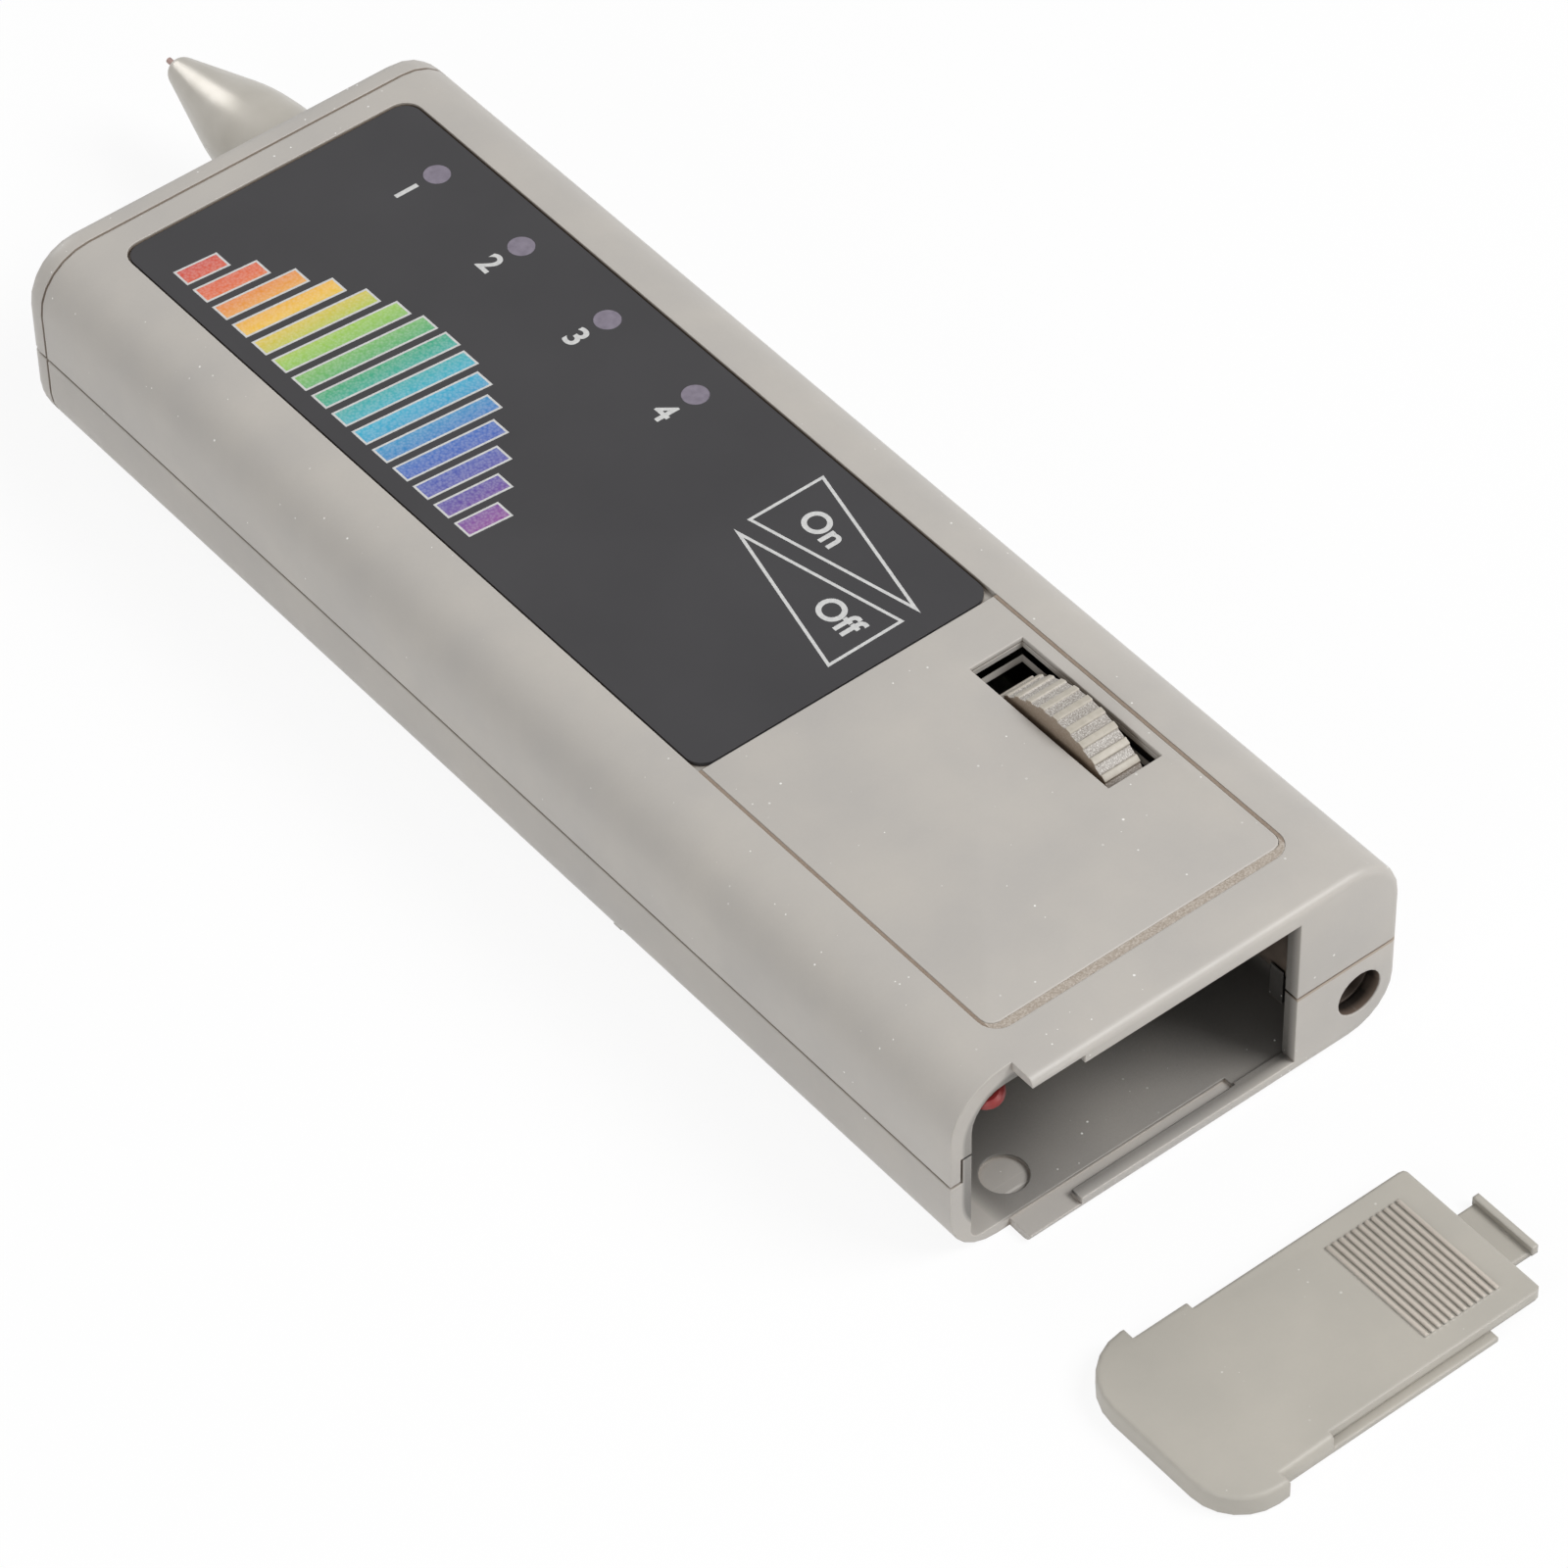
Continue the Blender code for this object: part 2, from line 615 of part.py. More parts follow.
def tube(name, radius, points, sides_resolution=2):
    """A wire along a list of points, with closed ends."""
    curve = bpy.data.curves.new(name, "CURVE")
    curve.dimensions = "3D"
    curve.bevel_depth = radius
    curve.bevel_resolution = sides_resolution
    curve.use_fill_caps = True
    spline = curve.splines.new("POLY")
    spline.points.add(len(points) - 1)
    for point, place in zip(spline.points, points):
        point.co = (*place, 1)
    wire = bpy.data.objects.new(name, curve)
    cutters.objects.link(wire)
    return tool(name, finished_mesh(wire))


def smooth_route(corners, steps=3):
    """Points along a smooth curve through the given corners."""
    ends = [corners[0], *corners, corners[-1]]
    points = []
    for before, start, end, after in zip(ends, ends[1:], ends[2:], ends[3:]):
        for step in range(steps):
            share = step / steps
            a, b, c, d = (Vector(corner) for corner in (before, start, end, after))
            bend = (2 * a - 5 * b + 4 * c - d) * share**2 + (3 * b - a - 3 * c + d) * share**3
            points.append((2 * b + (c - a) * share + bend) / 2)
    return [*points, Vector(corners[-1])]


def boolean(shape, other, operation):
    """Adds one exact Boolean step to a shape."""
    step = shape.modifiers.new(f"{operation.lower()} {other.name}", "BOOLEAN")
    step.operation = operation
    step.solver = "EXACT"
    step.object = other


def cut(shape, *others):
    """Cuts others out of a shape."""
    for other in others:
        boolean(shape, other, "DIFFERENCE")


def join(shape, *others):
    """Joins others to a shape."""
    for other in others:
        boolean(shape, other, "UNION")


def group(name, shapes):
    """Puts several shapes into one, as separate bodies."""
    solid = bmesh.new()
    bpy.context.view_layer.update()
    for shape in shapes:
        depsgraph = bpy.context.evaluated_depsgraph_get()
        mesh = bpy.data.meshes.new_from_object(shape.evaluated_get(depsgraph))
        mesh.transform(shape.matrix_world)
        solid.from_mesh(mesh)
        bpy.data.objects.remove(shape, do_unlink=True)
    mesh = bpy.data.meshes.new(name)
    solid.to_mesh(mesh)
    solid.free()
    return tool(name, mesh)


def move_origin(shape, point):
    """Puts a shape's origin at a point and leaves its mesh where it is."""
    offset = Vector(point) - shape.location
    shape.data.transform(Matrix.Translation(-offset))
    shape.location = point


# Case shells
def case_blank(name):
    """The case's outside as a solid bar with rounded rims."""
    outline = rounded_rectangle((-SIDE, 0), (SIDE, CASE_HEIGHT), BOTTOM_EDGE_RADIUS, TOP_EDGE_RADIUS)
    rims = ((-1, FRONT_RIM_RADIUS), (1, REAR_RIM_RADIUS))
    return plate(name, [outline], CASE_LENGTH, OUTLINE_XZ, rims=rims)


def cavity():
    """The hollow inside both shells."""
    outline = rounded_rectangle(
        (-INNER_SIDE, FLOOR), (INNER_SIDE, CEILING), FLOOR_FILLET, TOP_EDGE_RADIUS - SIDE_WALL
    )
    rear = REAR + END_WALL
    front = FRONT - FRONT_WALL
    return plate("cavity", [outline], front - rear, OUTLINE_XZ, (0, (front + rear) / 2, 0))


def seam_block(name, low, high):
    """A block across the whole case, between two heights."""
    reach = SIDE + OVERRUN
    return box(name, (-reach, REAR - OVERRUN, low), (reach, FRONT + OVERRUN, high))


def front_line():
    """The thin line round the case a little behind its front."""
    reach = SIDE + OVERRUN
    top = CASE_HEIGHT + OVERRUN
    outer = [(-reach, -OVERRUN), (reach, -OVERRUN), (reach, top), (-reach, top)]
    inner = rounded_rectangle(
        (FRONT_LINE_DEPTH - SIDE, FRONT_LINE_DEPTH),
        (SIDE - FRONT_LINE_DEPTH, CASE_HEIGHT - FRONT_LINE_DEPTH),
        BOTTOM_EDGE_RADIUS - FRONT_LINE_DEPTH,
        TOP_EDGE_RADIUS - FRONT_LINE_DEPTH,
    )
    place = (0, FRONT - FRONT_LINE_SETBACK, 0)
    return plate("front_line", [outer, inner], FRONT_LINE_WIDTH, OUTLINE_XZ, place)


def set_back_corner():
    """Takes the corner left of the lips back to the cover's seat."""
    low = (-SIDE - OVERRUN, REAR - OVERRUN, -OVERRUN)
    high = (LIP_LEFT, REAR + COVER_SEAT, CASE_HEIGHT + OVERRUN)
    return box("set_back_corner", low, high)


def wide_mouth():
    """The mouth left of the rails, with the slots behind the rails."""
    left = LIP_LEFT - OVERRUN
    outside = REAR - OVERRUN
    rail = REAR + RAIL_DEPTH
    seat = REAR + COVER_SEAT
    outline = [
        (left, outside),
        (RAIL_LEFT, outside),
        (RAIL_LEFT, rail),
        (SLOT_RIGHT, rail),
        (SLOT_RIGHT, seat),
        (left, seat),
    ]
    middle = (SLOT_FLOOR + UPPER_SLOT) / 2
    return plate("wide_mouth", [outline], UPPER_SLOT - SLOT_FLOOR, location=(0, 0, middle))


def narrow_mouth():
    """The mouth between the rails, up to the end wall."""
    low = (LIP_LEFT, REAR - OVERRUN, RAIL_HEIGHT)
    high = (MOUTH_RIGHT, REAR + END_WALL + OVERRUN, UPPER_RAIL)
    return box("narrow_mouth", low, high)


def catch_pocket():
    """The pocket behind the end wall that the cover's catch snaps into."""
    middle = SEAM_HEIGHT + GAP
    reach = MOUTH_RIGHT - GAP + TONGUE_REACH
    low = (
        reach - CATCH_LENGTH - GAP,
        REAR + COVER_THICKNESS - TONGUE_SHEET - CATCH_HEIGHT - GAP,
        middle - TONGUE_WIDTH / 2 - GAP,
    )
    high = (reach + GAP, REAR + END_WALL + OVERRUN, middle + TONGUE_WIDTH / 2 + GAP)
    return box("catch_pocket", low, high)


def column_places():
    """Where the case screws stand."""
    return [
        (-COLUMN_OFFSET, FRONT - FRONT_COLUMN_SETBACK),
        (COLUMN_OFFSET, FRONT - FRONT_COLUMN_SETBACK),
        (-COLUMN_OFFSET, REAR + MIDDLE_COLUMN_SETBACK),
        (COLUMN_OFFSET, REAR + REAR_COLUMN_SETBACK),
    ]


def post_places():
    """Where the board is screwed to the lower shell."""
    across = BOARD_SIDE - POST_INSET
    return [
        (side * across, along)
        for side in (-1, 1)
        for along in (BOARD_REAR + POST_FROM_REAR, BOARD_FRONT - POST_FROM_FRONT)
    ]


def upright_rods(name, places, radius, low, high, steps=SMALL_STEPS):
    """The same upright bar at several places."""
    return [rod(name, radius, (x, y, low), (x, y, high), steps=steps) for x, y in places]


def probe_hole(name, start, end):
    """A round passage for the probe between two places along it."""
    low = (PROBE_OFFSET, start, SEAM_HEIGHT)
    high = (PROBE_OFFSET, end, SEAM_HEIGHT)
    return rod(name, PROBE_HOLE, low, high, ALONG_Y, steps=ROUND_STEPS)


def cradle(name, low, high):
    """A rib between two heights that holds the probe behind its collar."""
    half = PROBE_HOLE + CRADLE_SIDE
    front = COLLAR_REAR - GAP
    shape = box(name, (PROBE_OFFSET - half, front - CRADLE_LENGTH, low), (PROBE_OFFSET + half, front, high))
    cut(shape, probe_hole("cradle_hole", front - CRADLE_LENGTH - OVERRUN, front + OVERRUN))
    return shape


def wheel_slot():
    """The thumbwheel's slot through the panel and the case top."""
    rear = REAR + WHEEL_SLOT_SETBACK
    low = (WHEEL_SLOT_LEFT, rear, CEILING - OVERRUN)
    high = (WHEEL_SLOT_LEFT + WHEEL_SLOT_WIDTH, rear + WHEEL_SLOT_LENGTH, CASE_HEIGHT + OVERRUN)
    return box("wheel_slot", low, high)


def wheel_space():
    """Room for the thumbwheel's rim under the top wall."""
    low = (WHEEL_SLOT_LEFT, WHEEL_Y, WHEEL_HEIGHT)
    high = (WHEEL_SLOT_LEFT + WHEEL_SLOT_WIDTH, WHEEL_Y, WHEEL_HEIGHT)
    return rod("wheel_space", WHEEL_RADIUS + WHEEL_CLEARANCE, low, high, ALONG_X, ROUND_STEPS)


def label_recess():
    """The shallow recess that holds the label and the panel."""
    outline = rounded_rectangle(
        (-RECESS_SIDE, RECESS_REAR_EDGE), (RECESS_SIDE, RECESS_FRONT_EDGE), RECESS_CORNER, RECESS_CORNER
    )
    depth = RECESS_DEPTH + OVERRUN
    return plate("label_recess", [outline], depth, location=(0, 0, RECESS_FLOOR + depth / 2))


def lamp_places():
    """Where the four lamps stand, from the front."""
    first = FRONT - LAMP_FRONT_SETBACK
    return [(LAMP_OFFSET, first - number * LAMP_PITCH) for number in range(LAMP_COUNT)]


def make_upper_shell():
    """The upper half of the case."""
    shell = case_blank("upper_shell")
    cut(shell, cavity(), seam_block("below_seam", -OVERRUN, SEAM_HIGH))
    reach = INNER_SIDE + TONGUE_THICKNESS + GAP
    front = FRONT - FRONT_WALL + TONGUE_THICKNESS + GAP
    rebate_top = SEAM_LOW + TONGUE_HEIGHT + GAP
    cut(shell, box("rebate", (-reach, REAR + COVER_SEAT - GAP, 0), (reach, front, rebate_top)))
    cut(shell, set_back_corner(), wide_mouth(), narrow_mouth(), catch_pocket())
    cut(shell, front_line(), label_recess(), wheel_slot(), wheel_space())
    roof = CEILING + OVERRUN
    top = upright_rods("lamp_hole", lamp_places(), LAMP_FLANGE, CEILING - OVERRUN, CASE_HEIGHT)
    cut(shell, *top)
    columns = upright_rods("upper_column", column_places(), UPPER_COLUMN_RADIUS, SEAM_HIGH, roof)
    join(shell, *columns, cradle("upper_cradle", SEAM_HIGH, roof))
    rib_right = BAY_RIGHT + BAY_RIB
    rib = ((BAY_LEFT + BAY_RIGHT) / 2, BAY_END, SEAM_HIGH)
    join(shell, box("upper_bay_rib", rib, (rib_right, BAY_END + BAY_RIB, roof)))
    cut(shell, probe_hole("front_hole", FRONT - FRONT_WALL - OVERRUN, FRONT + OVERRUN))
    pilot_top = SCREW_SINK + SCREW_HEAD_HEIGHT + SCREW_LENGTH
    pilots = upright_rods("pilot", column_places(), SCREW_RADIUS + GAP, SEAM_LOW, pilot_top)
    cut(shell, *pilots)
    return piece("upper_shell", shell, "case_plastic")


def make_lower_shell():
    """The lower half of the case, with the sill of the battery mouth."""
    shell = case_blank("lower_shell")
    cut(shell, seam_block("above_seam", SEAM_LOW, CASE_HEIGHT + OVERRUN))
    reach = INNER_SIDE + TONGUE_THICKNESS
    front = FRONT - FRONT_WALL + TONGUE_THICKNESS
    block = ((-reach, REAR + COVER_SEAT, FLOOR + FLOOR_FILLET), (reach, front, SEAM_LOW + TONGUE_HEIGHT))
    join(shell, box("tongue_block", *block))
    cut(shell, cavity(), set_back_corner(), wide_mouth(), narrow_mouth(), catch_pocket(), front_line())
    base = FLOOR - COLUMN_ROOT
    columns = upright_rods("column", column_places(), COLUMN_RADIUS, base, SEAM_LOW)
    posts = upright_rods("post", post_places(), POST_RADIUS, base, BOARD_UNDERSIDE - GAP)
    join(shell, *columns, *posts, cradle("lower_cradle", base, SEAM_LOW))
    rib_right = BAY_RIGHT + BAY_RIB
    join(
        shell,
        box("bay_end", (BAY_LEFT - OVERRUN, BAY_END, base), (rib_right, BAY_END + BAY_RIB, SEAM_LOW)),
        box(
            "bay_side",
            (BAY_RIGHT, REAR + COVER_SEAT + BAY_RIB_START, base),
            (rib_right, BAY_END + BAY_RIB / 2, FLOOR + BAY_RIB_HEIGHT),
        ),
        jack_cradle(),
    )
    jack_low = (JACK_OFFSET, REAR + END_WALL, JACK_HEIGHT)
    jack_high = (JACK_OFFSET, JACK_FACE + JACK_LENGTH + GAP, JACK_HEIGHT)
    cut(
        shell,
        rod("jack_space", JACK_RADIUS + GAP, jack_low, jack_high, ALONG_Y, steps=ROUND_STEPS),
        rod(
            "jack_hole",
            JACK_HOLE_RADIUS,
            (JACK_OFFSET, REAR - OVERRUN, JACK_HEIGHT),
            (JACK_OFFSET, REAR + END_WALL + OVERRUN, JACK_HEIGHT),
            ALONG_Y,
            steps=ROUND_STEPS,
        ),
        probe_hole("front_hole", FRONT - FRONT_WALL - OVERRUN, FRONT + OVERRUN),
    )
    cut(shell, *(screw_hole(place) for place in column_places()))
    cut(shell, *upright_rods("post_hole", post_places(), BOARD_SCREW_RADIUS + GAP, FLOOR, BOARD_UNDERSIDE))
    mark = (PIN_MARK_FROM_SIDE - SIDE, REAR + PIN_MARK_SETBACK)
    mark_floor = FLOOR - PIN_MARK_DEPTH
    cut(
        shell,
        *upright_rods("pin_mark", [mark], PIN_MARK_RADIUS, mark_floor, FLOOR + OVERRUN, ROUND_STEPS),
        plate_recess(),
        *upright_rods("stud_hole", [plate_middle()], STUD_RADIUS + GAP, 0, FLOOR + OVERRUN),
    )
    return piece("lower_shell", shell, "case_plastic")


def screw_hole(place):
    """The hole for a case screw, wide for its head and narrow for its shank."""
    ledge = SCREW_SINK + SCREW_HEAD_HEIGHT + GAP
    profile = [
        (0, SEAM_HEIGHT),
        (SCREW_RADIUS + GAP, SEAM_HEIGHT),
        (SCREW_RADIUS + GAP, ledge),
        (SCREW_HEAD_RADIUS + GAP, ledge),
        (SCREW_HEAD_RADIUS + GAP, -OVERRUN),
        (0, -OVERRUN),
    ]
    return turned("screw_hole", profile, location=(*place, 0), steps=SMALL_STEPS)


def jack_cradle():
    """A rib on the floor that the adapter jack lies in."""
    half = JACK_RADIUS + GAP
    middle = JACK_FACE + JACK_LENGTH / 2
    reach = JACK_CRADLE_LENGTH / 2
    low = (JACK_OFFSET - half, middle - reach, FLOOR / 2)
    return box("jack_cradle", low, (INNER_SIDE + OVERRUN, middle + reach, JACK_HEIGHT))


# Touch plate
def plate_middle():
    """The middle of the touch plate, seen from above."""
    return (0, PLATE_START + PLATE_LENGTH / 2)


def plate_outline(margin):
    """The touch plate's outline, grown by a margin."""
    half = PLATE_WIDTH / 2 + margin
    low = (-half, PLATE_START - margin)
    high = (half, PLATE_START + PLATE_LENGTH + margin)
    return rounded_rectangle(low, high, PLATE_CORNER, PLATE_CORNER)


def plate_recess():
    """The recess in the underside for the touch plate."""
    depth = PLATE_SINK + PLATE_THICKNESS + GAP
    height = depth + OVERRUN
    return plate("plate_recess", [plate_outline(GAP)], height, location=(0, 0, depth - height / 2))


def make_touch_plate():
    """The metal plate for the user's hand, with the contact that leads to the board."""
    x, y = plate_middle()
    shape = plate(
        "touch_plate", [plate_outline(0)], PLATE_THICKNESS, location=(0, 0, PLATE_SINK + PLATE_THICKNESS / 2)
    )
    stud_top = FLOOR + STUD_RADIUS
    join(shape, rod("stud", STUD_RADIUS, (x, y, PLATE_SINK + PLATE_THICKNESS / 2), (x, y, stud_top)))
    piece("touch_plate", shape, "steel")
    contact = rod("contact", CONTACT_RADIUS, (x, y, stud_top + GAP), (x, y, BOARD_UNDERSIDE - GAP))
    piece("plate_contact", contact, "steel")


# Label, windows and panel
def make_label():
    """The dark film with its four windows."""
    half = RECESS_SIDE - GAP
    outline = rounded_rectangle((-half, LABEL_REAR), (half, LABEL_FRONT), LABEL_CORNER, LABEL_CORNER)
    holes = [circle(place, WINDOW_RADIUS + GAP, SMALL_STEPS) for place in lamp_places()]
    level = RECESS_FLOOR + SHEET_LIFT + LABEL_THICKNESS / 2
    shape = plate("face_label", [outline, *holes], LABEL_THICKNESS, location=(0, 0, level))
    piece("face_label", shape, "label_film")
    for number, place in enumerate(lamp_places(), 1):
        window = plate(
            "window", [circle(place, WINDOW_RADIUS, SMALL_STEPS)], LABEL_THICKNESS, location=(0, 0, level)
        )
        piece(f"led_window_{number}", window, "window_film")


def make_panel():
    """The plain plate behind the label, with the wheel's slot."""
    half = RECESS_SIDE - PANEL_SIDE_GROOVE
    inset = half - PANEL_CORNER
    corner_y = PANEL_REAR + PANEL_CORNER
    quarter = math.pi / 2
    outline = [(half, PANEL_FRONT), (-half, PANEL_FRONT)]
    outline += arc((-inset, corner_y), PANEL_CORNER, 2 * quarter, 3 * quarter, RIM_STEPS)
    outline += arc((inset, corner_y), PANEL_CORNER, 3 * quarter, 4 * quarter, RIM_STEPS)
    thickness = RECESS_DEPTH - SHEET_LIFT
    shape = plate("switch_panel", [outline], thickness, location=(0, 0, CASE_HEIGHT - thickness / 2))
    cut(shape, wheel_slot())
    piece("switch_panel", shape, "case_plastic")


# Thumbwheel and switch
def switch_pin_places():
    """Where the switch's pins go through the board."""
    x = WHEEL_LEFT - GAP - SWITCH_WIDTH / 2
    middle = (SWITCH_PIN_COUNT - 1) / 2
    return [(x, WHEEL_Y + (number - middle) * SWITCH_PIN_PITCH) for number in range(SWITCH_PIN_COUNT)]


def make_wheel():
    """The ridged wheel and its axle, both with their origin on the axle's line."""
    axis = (WHEEL_OFFSET, WHEEL_Y, WHEEL_HEIGHT)
    pitch = 2 * math.pi / WHEEL_RIDGES
    outline = []
    for ridge in range(WHEEL_RIDGES):
        middle = pitch * ridge
        corners = (
            (-RIDGE_ROOT_SHARE, WHEEL_ROOT_RADIUS),
            (-RIDGE_TIP_SHARE, WHEEL_RADIUS),
            (RIDGE_TIP_SHARE, WHEEL_RADIUS),
            (RIDGE_ROOT_SHARE, WHEEL_ROOT_RADIUS),
        )
        for share, radius in corners:
            angle = middle + share * pitch / 2
            outline.append((radius * math.cos(angle), radius * math.sin(angle)))
    bore = circle((0, 0), AXLE_RADIUS + GAP, SMALL_STEPS)
    wheel = plate("power_wheel", [outline, bore], WHEEL_WIDTH, ALONG_X, axis)
    face = WHEEL_OFFSET + WHEEL_WIDTH / 2
    dish_low = (face - WHEEL_DISH_DEPTH, WHEEL_Y, WHEEL_HEIGHT)
    dish_high = (face + OVERRUN, WHEEL_Y, WHEEL_HEIGHT)
    cut(wheel, rod("dish", WHEEL_ROOT_RADIUS - WHEEL_RIM, dish_low, dish_high, ALONG_X, ROUND_STEPS))
    piece("power_wheel", wheel, "case_plastic")
    right = WHEEL_LEFT + AXLE_IN_WHEEL
    axle = rod("wheel_axle", AXLE_RADIUS, (right - AXLE_LENGTH, *axis[1:]), (right, *axis[1:]), ALONG_X)
    move_origin(axle, axis)
    piece("wheel_axle", axle, "steel")


def make_switch():
    """The rotary switch that the wheel turns, standing on the board."""
    right = WHEEL_LEFT - GAP
    left = right - SWITCH_WIDTH
    height = CEILING - SWITCH_ROOM - BOARD_TOP - GAP
    middle = BOARD_TOP + GAP + height / 2
    outline = rounded_rectangle(
        (-SWITCH_LENGTH / 2, -height / 2),
        (SWITCH_LENGTH / 2, height / 2),
        SWITCH_CORNER,
        height / 2 - SWITCH_CORNER,
        steps=RIM_STEPS,
    )
    shape = plate("rotary_switch", [outline], SWITCH_WIDTH, ALONG_X, ((left + right) / 2, WHEEL_Y, middle))
    bore = rod(
        "bore",
        AXLE_RADIUS + GAP,
        (WHEEL_LEFT + AXLE_IN_WHEEL - AXLE_LENGTH - GAP, WHEEL_Y, WHEEL_HEIGHT),
        (right + OVERRUN, WHEEL_Y, WHEEL_HEIGHT),
        ALONG_X,
    )
    cut(shape, bore)
    pin_top = BOARD_TOP + 2 * GAP
    pin_foot = pin_top - SWITCH_PIN_LENGTH
    join(shape, *upright_rods("pin", switch_pin_places(), SWITCH_PIN_RADIUS, pin_foot, pin_top, TINY_STEPS))
    piece("rotary_switch", shape, "black_plastic")


# Probe
def make_nose():
    """The probe's outer shell: barrel, cone and rounded end, with a collar behind the case's front wall."""
    slope = math.tan(CONE_HALF_ANGLE)
    ball = NOSE_END - NOSE_END_RADIUS
    end_angle = math.acos(PIN_HOLE_RADIUS / NOSE_END_RADIUS)
    kink = ball - (PROBE_RADIUS - NOSE_END_RADIUS / math.cos(CONE_HALF_ANGLE)) / slope
    profile = arc((0, ball), NOSE_END_RADIUS, end_angle, CONE_HALF_ANGLE, CORNER_STEPS)
    bend = NOSE_SHOULDER_RADIUS * math.tan(CONE_HALF_ANGLE / 2)
    shoulder = (PROBE_RADIUS - NOSE_SHOULDER_RADIUS, kink - bend)
    profile += arc(shoulder, NOSE_SHOULDER_RADIUS, CONE_HALF_ANGLE, 0, CORNER_STEPS)
    profile += [
        (PROBE_RADIUS, COLLAR_FRONT),
        (COLLAR_RADIUS, COLLAR_FRONT),
        (COLLAR_RADIUS, COLLAR_REAR),
        (PROBE_RADIUS, COLLAR_REAR),
        (PROBE_RADIUS, NOSE_REAR),
        (NOSE_BORE, NOSE_REAR),
        (NOSE_BORE, NOSE_REAR + BORE_LENGTH),
        (NOSE_THROAT, NOSE_END - THROAT_LENGTH),
        (PIN_HOLE_RADIUS, NOSE_END - THROAT_LENGTH),
    ]
    place = (PROBE_OFFSET, 0, SEAM_HEIGHT)
    shape = turned("probe_nose", profile, ALONG_Y, place, closed=True)
    piece("probe_nose", shape, "probe_paint")


def make_guide():
    """The insulating sleeve in which the tip slides, with a chamber for its spring and one for the heater."""
    outer = NOSE_BORE - GAP
    hole = ROD_RADIUS + GAP
    profile = [
        (outer, GUIDE_FRONT),
        (outer, GUIDE_REAR),
        (HEATER_CHAMBER_RADIUS, GUIDE_REAR),
        (HEATER_CHAMBER_RADIUS, CHAMBER_REAR - GUIDE_COLLAR),
        (hole, CHAMBER_REAR - GUIDE_COLLAR),
        (hole, CHAMBER_REAR),
        (SPRING_CHAMBER_RADIUS, CHAMBER_REAR),
        (SPRING_CHAMBER_RADIUS, CHAMBER_FRONT),
        (hole, CHAMBER_FRONT),
        (hole, GUIDE_FRONT),
    ]
    shape = turned("guide", profile, ALONG_Y, (PROBE_OFFSET, 0, SEAM_HEIGHT), SMALL_STEPS, closed=True)
    piece("probe_guide", shape, "insulator")


def make_tip():
    """The copper rod with its thin pin and spring seat, its heater collar and its spring."""
    place = (PROBE_OFFSET, 0, SEAM_HEIGHT)
    seat_radius = SPRING_CHAMBER_RADIUS - GAP
    seat_front = CHAMBER_FRONT - GAP
    seat_rear = seat_front - SEAT_LENGTH
    profile = [
        (0, TIP_Y),
        (PIN_RADIUS, TIP_Y),
        (PIN_RADIUS, ROD_FRONT),
        (ROD_RADIUS, ROD_FRONT),
        (ROD_RADIUS, seat_front),
        (seat_radius, seat_front),
        (seat_radius, seat_rear),
        (ROD_RADIUS, seat_rear),
        (ROD_RADIUS, ROD_REAR),
        (0, ROD_REAR),
    ]
    tip = turned("probe_tip", profile, ALONG_Y, place, SMALL_STEPS)
    move_origin(tip, (PROBE_OFFSET, TIP_Y, SEAM_HEIGHT))
    piece("probe_tip", tip, "copper")
    spring_inner = SPRING_OUTER_RADIUS - SPRING_WALL
    spring = [
        (SPRING_OUTER_RADIUS, seat_rear - GAP),
        (SPRING_OUTER_RADIUS, CHAMBER_REAR + GAP),
        (spring_inner, CHAMBER_REAR + GAP),
        (spring_inner, seat_rear - GAP),
    ]
    piece("tip_spring", turned("spring", spring, ALONG_Y, place, SMALL_STEPS, closed=True), "steel")
    heater_rear = ROD_REAR + GAP
    heater = [
        (HEATER_RADIUS, heater_rear + HEATER_LENGTH),
        (HEATER_RADIUS, heater_rear),
        (ROD_RADIUS + GAP, heater_rear),
        (ROD_RADIUS + GAP, heater_rear + HEATER_LENGTH),
    ]
    shape = turned("heater", heater, ALONG_Y, place, SMALL_STEPS, closed=True)
    move_origin(shape, (PROBE_OFFSET, TIP_Y, SEAM_HEIGHT))
    piece("tip_heater", shape, "insulator")


def make_plug():
    """The plug that closes the probe's inner end, and its two leads to the board."""
    rear = NOSE_REAR - GAP - PLUG_FLANGE_LENGTH
    profile = [
        (0, PLUG_FRONT),
        (NOSE_BORE - GAP, PLUG_FRONT),
        (NOSE_BORE - GAP, NOSE_REAR - GAP),
        (PROBE_RADIUS, NOSE_REAR - GAP),
        (PROBE_RADIUS, rear),
        (0, rear),
    ]
    shape = turned("plug", profile, ALONG_Y, (PROBE_OFFSET, 0, SEAM_HEIGHT), SMALL_STEPS)
    piece("probe_plug", shape, "insulator")
    level = BOARD_TOP + GAP + PROBE_LEAD_RADIUS
    for number, side in enumerate((-1, 1), 1):
        across = PROBE_OFFSET + side * PROBE_LEAD_PITCH / 2
        start = (across, rear - GAP, level)
        lead = tube("lead", PROBE_LEAD_RADIUS, [start, (across, start[1] - PROBE_LEAD_LENGTH, level)], 1)
        piece(f"probe_lead_{number}", lead, "red_rubber")


# Circuit board and what stands on it
def on_board(shares):
    """A place on the board, from its shares of the half width and of the length."""
    across, along = shares
    return across * BOARD_SIDE, BOARD_REAR + along * (BOARD_FRONT - BOARD_REAR)


